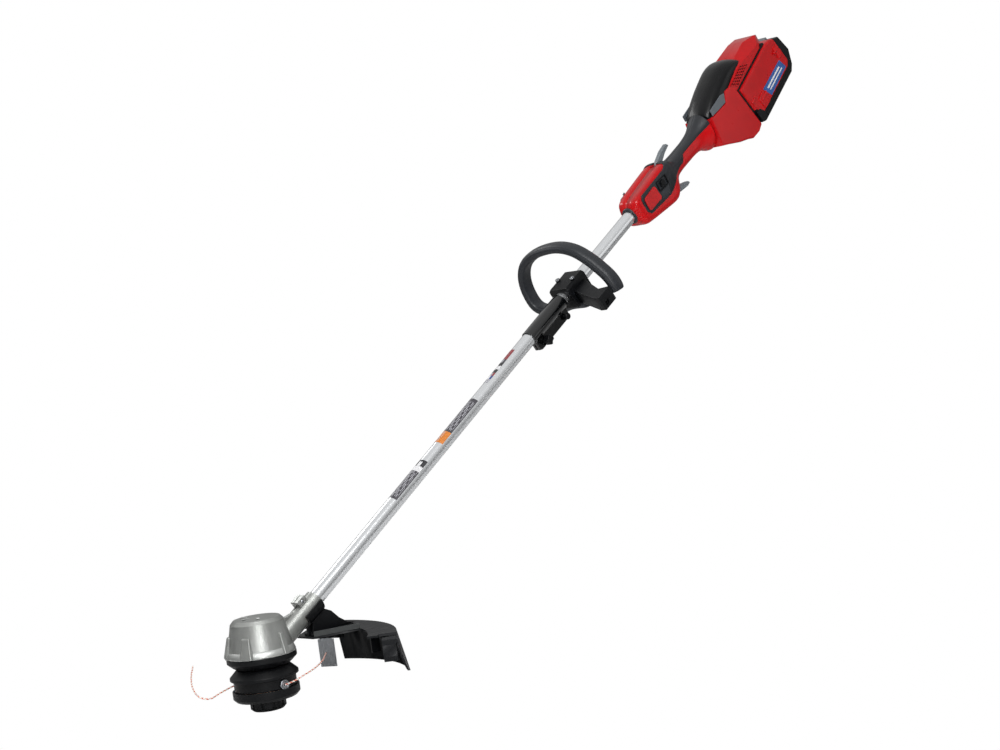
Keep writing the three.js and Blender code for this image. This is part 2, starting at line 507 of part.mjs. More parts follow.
function buildBattery() {
  const dock = new THREE.Group(); // x runs along the rails, z is square to them
  dock.position.set(battery.x, 0, battery.z);
  dock.rotation.y = -battery.tilt;
  boom.add(dock);
  const topPlate = block(-92, 46, -34, 34, 50.4, 54);
  const frontPlate = block(-92, -88.4, -34, 34, -36, 54);
  const rails = [-28, 28].map((y) => block(-88.5, 44, y - 2, y + 2, 44.5, 51));
  const blades = [-8, 0, 8].map((y) => block(-86, -77, y - 0.6, y + 0.6, 28, 37));
  const contactBlock = block(-89, -84, -12, 12, 27, 38);
  piece(dock, "battery_dock", join(topPlate, frontPlate, contactBlock, ...rails, ...blades), blackPlastic);
  const board = block(-60, 32, -28, 28, 62, 63.6);
  const capacitors = [-45, -22, 4].map((u) => disc(6, 63, 74, 16).translate(u, 8, 0));
  piece(dock, "controller_board", join(board, block(-50, 20, -22, -8, 63, 70), ...capacitors), boardGreen);

  const { half } = battery;
  const side = [[-88, -40], [-78, -46], [64, -46], [78, -37], [95, -10], [90, 29], [62, 47], [46, 50],
    [-88, 50]];
  const whole = sideways(side, -half, half, 5);
  const room = block(-82, 66, -34, 34, -40, 40);
  const recess = block(-95, -74, -14, 14, 25, 40);
  const grooves = [-28, 28].map((y) => block(-95, 45, y - 2.6, y + 2.6, 43.8, 60));
  // The red cover ends at this line; the black tray takes in the bottom and the rear end.
  const redArea = [[-120, -8], [-84, -8], [-72, -28], [62, -28], [72, -19], [72, 60], [-120, 60]];
  const red = sideways(redArea, -60, 60);
  const black = sideways(inset(redArea, -gap), -60, 60);
  piece(dock, "battery_shell", cut(common(whole, red), room, recess, ...grooves), redPlastic);
  const latchPocket = block(73, 85, -15, 15, 28, 60);
  piece(dock, "battery_end_cap", cut(whole, black, room, latchPocket), blackPlastic);
  piece(dock, "battery_latch", block(74, 84, -14, 14, 31.5, 38.5), greyPlastic);
  const cells = [block(-73.5, -50, -13, 13, 24, 31)];
  for (let column = 0; column < 5; column += 1) {
    for (const row of [-27, -4, 19]) {
      cells.push(alongY(disc(10.6, -32, 32, 10)).translate(-52 + 23 * column, 0, row));
    }
  }
  const strips = [-32.6, 31.6].map((y) => block(-60, 48, y, y + 1, -34, 26));
  piece(dock, "battery_cells", join(strips[0], strips[1], ...cells), greenCell);
}

buildHead();
buildWhips();
buildGearCase();
buildBevelDrive();
buildGuard();
buildBoom();
buildCoupler();
buildAssistHandle();
buildFrontHandle();
buildMotor();
buildMotorHousing();
buildBattery();

export default tool;
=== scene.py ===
import json
import math

import bmesh
import bpy
from mathutils import Matrix, Vector

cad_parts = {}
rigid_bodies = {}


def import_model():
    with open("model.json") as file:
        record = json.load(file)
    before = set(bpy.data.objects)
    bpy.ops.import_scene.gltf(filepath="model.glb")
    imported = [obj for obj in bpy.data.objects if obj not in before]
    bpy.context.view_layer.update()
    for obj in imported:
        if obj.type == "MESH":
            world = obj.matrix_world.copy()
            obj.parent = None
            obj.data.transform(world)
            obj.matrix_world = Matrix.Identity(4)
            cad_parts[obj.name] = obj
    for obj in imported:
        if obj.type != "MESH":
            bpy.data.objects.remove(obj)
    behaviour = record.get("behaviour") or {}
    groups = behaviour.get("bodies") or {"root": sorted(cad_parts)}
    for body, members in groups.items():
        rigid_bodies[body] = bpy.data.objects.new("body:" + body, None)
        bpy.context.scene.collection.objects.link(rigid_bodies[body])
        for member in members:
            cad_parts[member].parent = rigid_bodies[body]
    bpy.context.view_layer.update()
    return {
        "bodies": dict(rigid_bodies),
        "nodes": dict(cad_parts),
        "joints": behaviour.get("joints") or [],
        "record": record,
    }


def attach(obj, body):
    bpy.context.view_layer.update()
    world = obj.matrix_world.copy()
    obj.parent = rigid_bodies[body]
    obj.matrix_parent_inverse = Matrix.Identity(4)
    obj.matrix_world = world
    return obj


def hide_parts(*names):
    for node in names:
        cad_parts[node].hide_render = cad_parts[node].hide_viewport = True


print("trimmer: loading the packed frame")
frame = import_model()
scene = bpy.context.scene
nodes = frame["nodes"]
mm = 0.001

# The boom frame has x up the boom from the gear case, z square to it. The dock frame holds the battery.
boomTilt, dockTilt = 32.8, 10.5
boomFrame = Matrix.Translation((0, 0, 71.9 * mm)) @ Matrix.Rotation(-math.radians(boomTilt), 4, "Y")
dockFrame = boomFrame @ Matrix.Translation((1656 * mm, 0, -24 * mm))
dockFrame = dockFrame @ Matrix.Rotation(-math.radians(dockTilt), 4, "Y")
groundFrame = Matrix.Identity(4)

cameraSetup = {"lens": 68.4, "place": (-1.6965, -2.4337, 0.5950)}
cameraAxes = {"forward": (0.6833, 0.7288, -0.0439), "right": (0.7186, -0.6819, -0.1362)}


def makeCamera():
    data = bpy.data.cameras.new("studioCamera")
    data.lens = cameraSetup["lens"]
    data.sensor_width = 36
    data.clip_start, data.clip_end = 0.05, 60
    camera = bpy.data.objects.new("studioCamera", data)
    scene.collection.objects.link(camera)
    forward = Vector(cameraAxes["forward"]).normalized()
    right = Vector(cameraAxes["right"])
    right = (right - forward * right.dot(forward)).normalized()
    up = right.cross(forward)
    turn = Matrix((right, up, -forward)).transposed().to_4x4()
    camera.matrix_world = Matrix.Translation(cameraSetup["place"]) @ turn
    scene.camera = camera


makeCamera()


def newMaterial(name, **sockets):
    finish = bpy.data.materials.new(name)
    finish.use_nodes = True
    shader = finish.node_tree.nodes["Principled BSDF"]
    for socket, value in sockets.items():
        shader.inputs[socket.replace("_", " ")].default_value = value
    return finish, finish.node_tree, shader


def colour(red, green, blue):
    def linear(value):
        value /= 255
        return value / 12.92 if value < 0.04045 else ((value + 0.055) / 1.055) ** 2.4
    return (linear(red), linear(green), linear(blue), 1)


def addNode(tree, kind, **settings):
    node = tree.nodes.new(kind)
    for key, value in settings.items():
        if hasattr(node, key):
            setattr(node, key, value)
        else:
            node.inputs[key.replace("_", " ")].default_value = value
    return node


def surfacePoint(tree, stretch=(1, 1, 1), tilt=0):
    # The place on the object, stretched; tilt turns it to lie along the boom first.
    place = addNode(tree, "ShaderNodeTexCoord").outputs["Object"]
    if tilt:
        turn = addNode(tree, "ShaderNodeVectorRotate", rotation_type="Y_AXIS")
        turn.inputs["Angle"].default_value = math.radians(tilt)
        tree.links.new(place, turn.inputs["Vector"])
        place = turn.outputs["Vector"]
    mapping = addNode(tree, "ShaderNodeMapping")
    mapping.inputs["Scale"].default_value = stretch
    tree.links.new(place, mapping.inputs["Vector"])
    return mapping.outputs["Vector"]


def noiseAt(tree, point, scale, detail=3, roughness=0.55):
    node = addNode(tree, "ShaderNodeTexNoise", Scale=scale, Detail=detail, Roughness=roughness)
    tree.links.new(point, node.inputs["Vector"])
    return node.outputs["Fac"]


def spread(tree, value, low, high, fromLow=0.3, fromHigh=0.7):
    node = addNode(tree, "ShaderNodeMapRange")
    node.inputs["From Min"].default_value = fromLow
    node.inputs["From Max"].default_value = fromHigh
    node.inputs["To Min"].default_value = low
    node.inputs["To Max"].default_value = high
    tree.links.new(value, node.inputs["Value"])
    return node.outputs["Result"]


def blendColours(tree, factor, first, second):
    node = addNode(tree, "ShaderNodeMix", data_type="RGBA")
    tree.links.new(factor, node.inputs["Factor"])
    for socket, value in ((node.inputs[6], first), (node.inputs[7], second)):
        if isinstance(value, tuple):
            socket.default_value = value
        else:
            tree.links.new(value, socket)
    return node.outputs[2]


def bumpFrom(tree, shader, height, distance, strength=1.0, before=None):
    node = addNode(tree, "ShaderNodeBump", Strength=strength, Distance=distance)
    tree.links.new(height, node.inputs["Height"])
    if before is not None:
        tree.links.new(before, node.inputs["Normal"])
    tree.links.new(node.outputs["Normal"], shader.inputs["Normal"])
    return node.outputs["Normal"]


def wornEdge(tree, low=0.52, high=0.62):
    return spread(tree, addNode(tree, "ShaderNodeNewGeometry").outputs["Pointiness"], 0, 1, low, high)


def mouldedPlastic(name, look):
    # A moulded plastic: slightly uneven colour, fine grain, handling marks and paler worn edges.
    finish, tree, shader = newMaterial(name, Roughness=look["roughness"])
    shader.inputs["Specular IOR Level"].default_value = look.get("specular", 0.5)
    shader.inputs["Coat Weight"].default_value = look.get("coat", 0.0)
    shader.inputs["Coat Roughness"].default_value = look.get("coatRoughness", 0.12)
    point = surfacePoint(tree)
    patches = noiseAt(tree, point, 14, 4)
    base = colour(*look["colour"])
    deep = tuple(c * look.get("shade", 0.82) for c in base[:3]) + (1,)
    mixed = blendColours(tree, spread(tree, patches, 0, 1), deep, base)
    worn = addNode(tree, "ShaderNodeMath", operation="MULTIPLY")
    worn.inputs[1].default_value = look.get("wear", 0.25)
    tree.links.new(wornEdge(tree), worn.inputs[0])
    mixed = blendColours(tree, worn.outputs[0], mixed, colour(*look["edge"]))
    tree.links.new(mixed, shader.inputs["Base Color"])
    marks = noiseAt(tree, surfacePoint(tree, (1, 6, 1)), 60, 5, 0.65)
    rough = look["roughness"]
    tree.links.new(spread(tree, marks, rough * 0.8, rough * 1.25), shader.inputs["Roughness"])
    grain = noiseAt(tree, point, look["grain"], 2, 0.5)
    bumpFrom(tree, shader, grain, look["depth"] * mm)
    return finish


def brushedMetal(name, look):
    # Drawn or machined metal, with fine lines along the direction given by stretch.
    finish, tree, shader = newMaterial(name, Metallic=look.get("metallic", 1.0), Roughness=look["roughness"])
    lines = noiseAt(tree, surfacePoint(tree, look["stretch"], look.get("tilt", 0)), look["lines"], 4, 0.6)
    patches = noiseAt(tree, surfacePoint(tree), 9, 4)
    base = colour(*look["colour"])
    deep = tuple(c * look.get("shade", 0.8) for c in base[:3]) + (1,)
    tree.links.new(blendColours(tree, spread(tree, patches, 0, 1), deep, base), shader.inputs["Base Color"])
    rough = look["roughness"]
    tree.links.new(spread(tree, lines, rough * 0.75, rough * 1.4), shader.inputs["Roughness"])
    bumpFrom(tree, shader, lines, look["depth"] * mm)
    return finish


def castMetal(name, look):
    # Die cast alloy, tumbled: fine pits, cloudy tone, brighter rubbed edges.
    finish, tree, shader = newMaterial(name, Metallic=look["metallic"], Roughness=look["roughness"])
    point = surfacePoint(tree)
    clouds = noiseAt(tree, point, 26, 5, 0.6)
    base = colour(*look["colour"])
    deep = tuple(c * look["shade"] for c in base[:3]) + (1,)
    mixed = blendColours(tree, spread(tree, clouds, 0, 1), deep, base)
    mixed = blendColours(tree, wornEdge(tree), mixed, colour(*look["edge"]))
    tree.links.new(mixed, shader.inputs["Base Color"])
    rough = look["roughness"]
    tree.links.new(spread(tree, clouds, rough * 0.85, rough * 1.2), shader.inputs["Roughness"])
    pits = noiseAt(tree, point, look["pits"], 2, 0.5)
    first = bumpFrom(tree, shader, pits, look["pitDepth"] * mm)
    bumpFrom(tree, shader, noiseAt(tree, point, look["dents"], 3), look["dentDepth"] * mm, before=first)
    return finish


print("trimmer: finishes")
looks = {
    "red": {"colour": (200, 10, 17), "edge": (214, 44, 46), "roughness": 0.32, "coat": 0.28, "grain": 700,
            "depth": 0.03, "wear": 0.2, "specular": 0.16},
    "black": {"colour": (9, 10, 12), "edge": (34, 36, 40), "roughness": 0.42, "grain": 900, "depth": 0.05,
              "specular": 0.18},
    "gloss": {"colour": (5, 6, 7), "edge": (30, 32, 36), "roughness": 0.13, "coat": 0.7, "grain": 500,
              "depth": 0.012, "specular": 0.35},
    "cover": {"colour": (7, 8, 10), "edge": (34, 36, 40), "roughness": 0.3, "coat": 0.1, "grain": 1100,
              "depth": 0.04, "specular": 0.2},
    "rubber": {"colour": (32, 35, 40), "edge": (74, 78, 84), "roughness": 0.46, "grain": 1300, "depth": 0.06,
               "specular": 0.42},
    "shade": {"colour": (3, 3, 4), "edge": (12, 12, 14), "roughness": 0.8, "grain": 900, "depth": 0.05,
              "specular": 0.05},
    "strip": {"colour": (62, 64, 64), "edge": (90, 92, 92), "roughness": 0.5, "grain": 900, "depth": 0.04,
              "specular": 0.2},
    "grey": {"colour": (112, 119, 124), "edge": (160, 165, 170), "roughness": 0.42, "grain": 900,
             "depth": 0.05},
    "insert": {"colour": (92, 98, 104), "edge": (130, 136, 142), "roughness": 0.34, "grain": 1100,
               "depth": 0.04},
    "board": {"colour": (26, 84, 52), "edge": (40, 110, 70), "roughness": 0.4, "grain": 400, "depth": 0.05},
    "cell": {"colour": (60, 132, 98), "edge": (90, 160, 130), "roughness": 0.35, "grain": 300, "depth": 0.03},
    "clay": {"colour": (226, 178, 150), "edge": (240, 210, 190), "roughness": 0.45, "grain": 900,
             "depth": 0.04},
}
finishes = {name: mouldedPlastic(name + "Plastic", look) for name, look in looks.items()}
finishes["tube"] = brushedMetal("drawnAluminium", {
    "colour": (226, 228, 230), "roughness": 0.2, "lines": 140, "stretch": (0.01, 1, 1), "depth": 0.001,
    "shade": 0.95, "metallic": 0.88, "tilt": boomTilt})
finishes["steel"] = brushedMetal("plainSteel", {
    "colour": (158, 161, 165), "roughness": 0.3, "lines": 600, "stretch": (1, 1, 0.2), "depth": 0.02})
finishes["copper"] = brushedMetal("woundCopper", {
    "colour": (184, 108, 60), "roughness": 0.35, "lines": 900, "stretch": (0.1, 1, 1), "depth": 0.1})
finishes["cast"] = castMetal("castAlloy", {
    "colour": (158, 160, 157), "edge": (206, 208, 206), "roughness": 0.4, "metallic": 0.85, "shade": 0.72,
    "pits": 900, "pitDepth": 0.16, "dents": 180, "dentDepth": 0.25})


linePaths = {
    "near": [(0, -51.4, 40.5), (9, -66, 46), (27, -66, 50), (51, -62, 54.5), (83, -42, 58), (118, -8, 61)],
    "far": [(0, 51.4, 40.5), (-20, 62, 36), (-45, 63, 31), (-67, 59, 28), (-77, 70, 32), (-72, 93, 42),
            (-55, 121, 54), (-30, 150, 66)],
}
lineLook = {"thickness": 2.4, "pitch": 7.5, "nearLength": 0.150, "farLength": 0.188, "ripple": 0.06,
            "sides": 12, "pale": (246, 232, 222), "soiled": (236, 214, 200), "strand": (224, 96, 66)}


def smoothRoute(points, steps):
    # The part's own curve through these points, as evenly spaced places along it.
    points = [Vector(p) for p in points]
    padded = [2 * points[0] - points[1], *points, 2 * points[-1] - points[-2]]
    fine, perSpan = [], 40
    for i in range(len(points) - 1):
        a, b, c, d = padded[i:i + 4]
        gapBefore, gapHere, gapAfter = (b - a).length ** 0.5, (c - b).length ** 0.5, (d - c).length ** 0.5
        leave = ((b - a) / gapBefore - (c - a) / (gapBefore + gapHere) + (c - b) / gapHere) * gapHere
        arrive = ((c - b) / gapHere - (d - b) / (gapHere + gapAfter) + (d - c) / gapAfter) * gapHere
        for k in range(perSpan):
            t = k / perSpan
            fine.append(b * (2 * t ** 3 - 3 * t ** 2 + 1) + leave * (t ** 3 - 2 * t ** 2 + t)
                        + c * (3 * t ** 2 - 2 * t ** 3) + arrive * (t ** 3 - t ** 2))
    fine.append(points[-1])
    return evenly(fine, steps)


def evenly(points, steps):
    # The same path cut into steps of equal length.
    reach = [0]
    for first, second in zip(points, points[1:]):
        reach.append(reach[-1] + (second - first).length)
    placed, i = [], 0
    for k in range(steps + 1):
        want = reach[-1] * k / steps
        while i < len(reach) - 2 and reach[i + 1] < want:
            i += 1
        share = (want - reach[i]) / max(1e-9, reach[i + 1] - reach[i])
        placed.append(points[i].lerp(points[i + 1], min(1, share)))
    return placed


def pathFrames(points, hint=Vector((0, 0, 1))):
    # Two directions square to the path at each point, carried along without twist.
    frames, side = [], None
    for i, here in enumerate(points):
        along = (points[min(i + 1, len(points) - 1)] - points[max(i - 1, 0)]).normalized()
        if side is None:
            side = hint.cross(along).normalized()
        side = (side - along * side.dot(along)).normalized()
        frames.append((here, side, along.cross(side)))
    return frames


def plainShape(name, verts, faces, place):
    # A shape from places in millimetres, its faces turned outward.
    mesh = bpy.data.meshes.new(name)
    mesh.from_pydata([tuple(c * mm for c in v) for v in verts], [], faces)
    work = bmesh.new()
    work.from_mesh(mesh)
    bmesh.ops.recalc_face_normals(work, faces=work.faces)
    work.to_mesh(mesh)
    work.free()
    shape = bpy.data.objects.new(name, mesh)
    scene.collection.objects.link(shape)
    shape.matrix_world = place
    return shape


def newPiece(name, verts, faces, place, finish, body, replaces=(), smooth=True):
    # A plain shape made into a piece of the trimmer, with a finish and a body to ride on.
    piece = plainShape(name, verts, faces, place)
    if smooth:
        piece.data.polygons.foreach_set("use_smooth", [True] * len(piece.data.polygons))
    piece.data.materials.append(finish)
    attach(piece, body)
    if replaces:
        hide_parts(*replaces)
    return piece


def roundEdges(piece, width, segments=2, angle=28, clamp=True):
    edges = piece.modifiers.new("roundedEdges", "BEVEL")
    edges.width = width * mm
    edges.segments = segments
    edges.limit_method = "ANGLE"
    edges.angle_limit = math.radians(angle)
    edges.use_clamp_overlap = clamp
    even = piece.modifiers.new("evenShading", "WEIGHTED_NORMAL")
    even.weight = 60
    return piece


def loftFaces(rows, columns):
    # Quads between rings of the same number of points; the end rings are filled.
    faces = []
    for row in range(rows - 1):
        for column in range(columns):
            after = (column + 1) % columns
            a, b = row * columns, (row + 1) * columns
            faces.append((a + column, a + after, b + after, b + column))
    faces.append(tuple(range(columns))[::-1])
    faces.append(tuple((rows - 1) * columns + i for i in range(columns)))
    return faces


def makeCuttingLine(name, route, steps, node, body):
    # Nylon line of soft square section, twisted, with a red strand winding round it.
    stops = smoothRoute(route, steps)
    fine = evenly(stops, steps * 8)
    around, ripple, verts, shade, walked = lineLook["sides"], lineLook["ripple"], [], [], 0
    for i, (here, side, up) in enumerate(pathFrames(fine)):
        if i:
            walked += (fine[i] - fine[i - 1]).length
        turn = 2 * math.pi * walked / lineLook["pitch"]
        for k in range(around):
            angle = 2 * math.pi * k / around
            reach = lineLook["thickness"] / 2 * (1 - ripple + ripple * math.cos(4 * (angle - turn / 4)))
            verts.append(here + (side * math.cos(angle) + up * math.sin(angle)) * reach)
            shade.append(0.5 + 0.5 * math.cos(angle - turn))
    piece = newPiece(name, verts, loftFaces(len(fine), around), groundFrame, finishes["line"], body,
                     [node])
    strand = piece.data.attributes.new("strand", "FLOAT", "POINT")
    strand.data.foreach_set("value", shade)


def makeLineFinish():
    finish, tree, shader = newMaterial("twistedLine", Roughness=0.38)
    strand = addNode(tree, "ShaderNodeAttribute", attribute_name="strand")
    band = spread(tree, strand.outputs["Fac"], 0, 1, 0.62, 0.8)
    soil = noiseAt(tree, surfacePoint(tree), 120, 3)
    pale = blendColours(tree, spread(tree, soil, 0, 1), colour(*lineLook["soiled"]),
                        colour(*lineLook["pale"]))
    tree.links.new(blendColours(tree, band, pale, colour(*lineLook["strand"])), shader.inputs["Base Color"])
    shader.inputs["Subsurface Weight"].default_value = 0.08
    bumpFrom(tree, shader, noiseAt(tree, surfacePoint(tree), 900), 0.03 * mm)
    return finish


print("trimmer: cutting lines")
finishes["line"] = makeLineFinish()
makeCuttingLine("cuttingLineNear", linePaths["near"], 24, "line_near", "cutting_head")
makeCuttingLine("cuttingLineFar", linePaths["far"], 28, "line_far", "cutting_head")


nodeFinishes = {
    "red": ["handle_shell_left", "handle_shell_right", "motor_housing_left", "motor_housing_right",
            "battery_shell"],
    "black": ["bump_knob", "head_lower_cover", "head_upper_case", "gear_case_base", "guard", "guard_bracket",
              "coupler_knob", "release_button", "assist_clamp_upper", "assist_clamp_lower", "assist_arm",
              "speed_switch",
              "trigger_switch", "cooling_fan", "vent_grille_left", "vent_grille_right", "battery_dock",
              "battery_end_cap"],
    "gloss": ["coupler_sleeve"],
    "cover": ["motor_cover"],
    "rubber": ["side_panel_left", "side_panel_right", "grip_overmould", "assist_loop"],
    "grey": ["trigger", "lockoff_lever", "battery_latch", "spool"],
    "tube": ["lower_tube", "upper_tube", "motor_plate"],
    "cast": ["gear_case"],
    "steel": ["collar_bolt", "spindle_bearing_lower", "spindle_bearing_upper", "output_gear", "bevel_pinion",
              "pinion_bearing", "line_cutter", "guard_screw", "lower_drive_shaft", "upper_drive_shaft",
              "rotor", "assist_bolt_1", "assist_bolt_2", "bump_spring", "eyelet_near", "eyelet_far"],
    "copper": ["stator"],
    "board": ["controller_board"],
    "cell": ["battery_cells"],
    "clay": ["wound_line"],
}
edgeWidths = {"gear_case": 0.8, "guard": 0.6, "motor_cover": 5, "battery_shell": 1.2, "battery_end_cap": 1.2,
              "motor_housing_left": 1.6, "motor_housing_right": 1.6, "handle_shell_left": 1.0,
              "handle_shell_right": 1.0, "output_gear": 0.2, "bevel_pinion": 0.2, "bump_spring": 0.1,
              "controller_board": 0.2}
dressing = {"weld": 0.002, "flatAngle": 1.5, "edge": 0.6}


def joinFlats(piece):
    flat = piece.modifiers.new("wholeFaces", "DECIMATE")
    flat.decimate_type = "DISSOLVE"
    flat.angle_limit = math.radians(dressing["flatAngle"])


def dressNode(name, finish):
    node = nodes[name]
    node.data.materials.clear()
    node.data.materials.append(finish)
    weld = node.modifiers.new("joinedTriangles", "WELD")
    weld.merge_threshold = dressing["weld"] * mm
    joinFlats(node)
    roundEdges(node, edgeWidths.get(name, dressing["edge"]))


for finishName, names in nodeFinishes.items():
    for name in names:
        dressNode(name, finishes[finishName])
dressed = {name for names in nodeFinishes.values() for name in names} | {"line_near", "line_far"}
print("trimmer: nodes without a finish:", sorted(set(nodes) - dressed))


def arcPoint(section, angle, grow=0.0):
    # A point of the rounded-box section (low, high, half, power) at this angle.
    # 0 is the right side and a quarter turn the top.
    low, high, half, power = section
    middle, tall = (low + high) / 2, (high - low) / 2 + grow
    across, up = math.cos(angle), math.sin(angle)
    y = math.copysign(abs(across) ** (2 / power), across) * (half + grow)
    z = middle + math.copysign(abs(up) ** (2 / power), up) * tall
    return y, z


def angleAt(section, z):
    # The angle at which the section's left side crosses this height.
    low, high, half, power = section
    share = max(-1.0, min(1.0, (z - (low + high) / 2) / ((high - low) / 2)))
    return math.pi - math.asin(math.copysign(abs(share) ** (power / 2), share))


def tableRow(table, x):
    # Reads a row of numbers between the rows of a table whose first column is x.
    rows = sorted(table)
    if x <= rows[0][0]:
        return rows[0][1:]
    for before, after in zip(rows, rows[1:]):
        if x <= after[0]:
            t = (x - before[0]) / (after[0] - before[0])
            return tuple(a + (b - a) * t for a, b in zip(before[1:], after[1:]))
    return rows[-1][1:]


def tableAt(table, x):
    # The same, eased over a few millimetres so that no row shows as a ridge.
    if len(table[0]) < 3:
        return tableRow(table, x)
    reach = min(6.0, x - table[0][0], table[-1][0] - x)
    near = [tableRow(table, x + reach * step / 3) for step in range(-3, 4)]
    return tuple(sum(column) / len(near) for column in zip(*near))


def cutWith(piece, cutters):
    # Cuts the closed shapes out of the piece for good and removes them.
    for cutter in cutters:
        knife = piece.modifiers.new("opening", "BOOLEAN")
        knife.operation = "DIFFERENCE"
        knife.solver = "EXACT"
        knife.object = cutter
    bpy.context.view_layer.update()
    seen = piece.evaluated_get(bpy.context.evaluated_depsgraph_get())
    mesh = bpy.data.meshes.new_from_object(seen)
    piece.modifiers.clear()
    piece.data = mesh
    for cutter in cutters:
        bpy.data.objects.remove(cutter)


def slabVerts(outline, low, high):
    # An outline in x and z, drawn out between two values of y.
    count = len(outline)
    verts = [(x, low, z) for x, z in outline] + [(x, high, z) for x, z in outline]
    faces = [tuple(range(count)), tuple(range(2 * count - 1, count - 1, -1))]
    faces += [(i, (i + 1) % count, (i + 1) % count + count, i + count) for i in range(count)]
    return verts, faces


def slab(name, outline, low, high, place, finish, body, slot, width):
    verts, faces = slabVerts(outline, low, high)
    roundEdges(newPiece(name, verts, faces, place, finish, body), width)


def sideSlab(name, sign, outline, near, far, *rest):
    # A slab on one side, between two distances from the middle.
    slab(name, outline, *sorted((sign * near, sign * far)), *rest)


def slabCutter(outline, low, high):
    verts, faces = slabVerts(outline, low, high)
    return plainShape("cutter", verts, faces, boomFrame)


def turnedVerts(profile, axis, sides):
    verts = []
    for radius, height in profile:
        for k in range(sides):
            angle = 2 * math.pi * k / sides
            a, b = radius * math.cos(angle), radius * math.sin(angle)
            verts.append({"Z": (a, b, height), "X": (height, a, b), "Y": (a, height, b)}[axis])
    return verts


def turnedBolt(name, profile, place, body, axis, replaces, sides=32):
    # A turned bolt: (radius, height) along the axis, closed at both ends.
    newPiece(name, turnedVerts(profile, axis, sides), loftFaces(len(profile), sides), place,
             finishes["steel"], body, replaces)


def turnedRing(name, profile, place, finish, body, axis="X", sides=64):
    # A turned ring: the profile is a closed loop of (radius, height).
    faces, rows = [], len(profile)
    for row in range(rows):
        for k in range(sides):
            a, b = row * sides, (row + 1) % rows * sides
            faces.append((a + k, a + (k + 1) % sides, b + (k + 1) % sides, b + k))
    newPiece(name, turnedVerts(profile, axis, sides), faces, place, finish, body)


handle = {
    # x, lowest, highest, half width, squareness
    "sections": [(1160, -13, 10, 17.5, 4), (1161.5, -17, 14, 20, 4.5), (1165, -26, 21, 23, 5),
                 (1171, -30, 25, 25.6, 6), (1190, -33, 28, 26.7, 8), (1240, -42, 30.5, 27, 8),
                 (1264, -46, 31.6, 27, 8), (1279, -45.5, 32, 26.8, 7),
                 (1291, -38, 30.5, 25.5, 6), (1300, -28, 26, 22.5, 5), (1309, -22.5, 18.5, 18.6, 4.2),
                 (1320, -20.5, 13.6, 15.9, 3.6), (1340, -20, 12.6, 15, 3.3), (1384, -21, 12.8, 15, 3),
                 (1402, -23.5, 14.5, 16.2, 2.7), (1416, -28, 17.5, 19, 2.4), (1428, -35, 22.5, 23.6, 2.2),
                 (1436, -40.5, 27, 28, 2.1), (1441, -42.4, 29.6, 30, 2.1), (1444.4, -42.6, 29.8, 30, 2.1)],
    "coverThickness": 2.2,
    "coverLow": [(1181, -8), (1188, -17.5), (1256, -23), (1268, -21), (1284, -15), (1300, -9), (1342, -5),
                 (1352, 5.5), (1400, 5.5), (1425, 7), (1444.4, 9.5)],
    "coverHigh": [(1181, 17), (1188, 23.6), (1268, 25), (1278, 27), (1284, 31), (1290, 44), (1444.4, 60)],
    "coverDepth": 0.6, "lean": 0.19, "leanFrom": 1396, "leanOver": 48, "leanFoot": -6, "shellGap": 0.15,
    "coverGap": 0.12,
    "triggerOpening": ([(1272, -60), (1344, -60), (1344, -14), (1274, -14)], -6.5, 6.5),
    "leverOpening": ([(1274, 6), (1318, 6), (1318, 60), (1274, 60)], -5.6, 5.6),
    "switchOpening": ([(1235, 1.8), (1264.6, -0.6), (1265.6, 15.8), (1236, 18.2)], -40, -27.9),
}


def rearLean(x, z):
    # The rear end of the grip leans forward at its foot, as the motor housing's front does.
    share = max(0.0, min(1.0, (x - handle["leanFrom"]) / handle["leanOver"]))
    return x + handle["lean"] * (z - handle["leanFoot"]) * share


def handleRows(start, end, step=1.5):
    # Evenly spaced places up the boom, about one step apart.
    count = max(2, round((end - start) / step))
    return [start + (end - start) * i / count for i in range(count + 1)]


def makeHandleShell(side, node):
    # One half of the red shell, closed at the middle seam.
    sign = -1 if side == "Left" else 1
    verts, around = [], 30
    rows = handleRows(1160, 1444.4)
    for x in rows:
        section = tableAt(handle["sections"], x)
        for k in range(around + 1):
            angle = math.radians(90 + 180 * k / around)
            y, z = arcPoint(section, angle)
            y = min(y, -handle["shellGap"])
            verts.append((rearLean(x, z), -sign * y, z))
    piece = newPiece("handleShell" + side, verts, loftFaces(len(rows), around + 1), boomFrame,
                     finishes["red"], "power_head", [node])
    cutWith(piece, [slabCutter(*handle["triggerOpening"]), slabCutter(*handle["leverOpening"])])


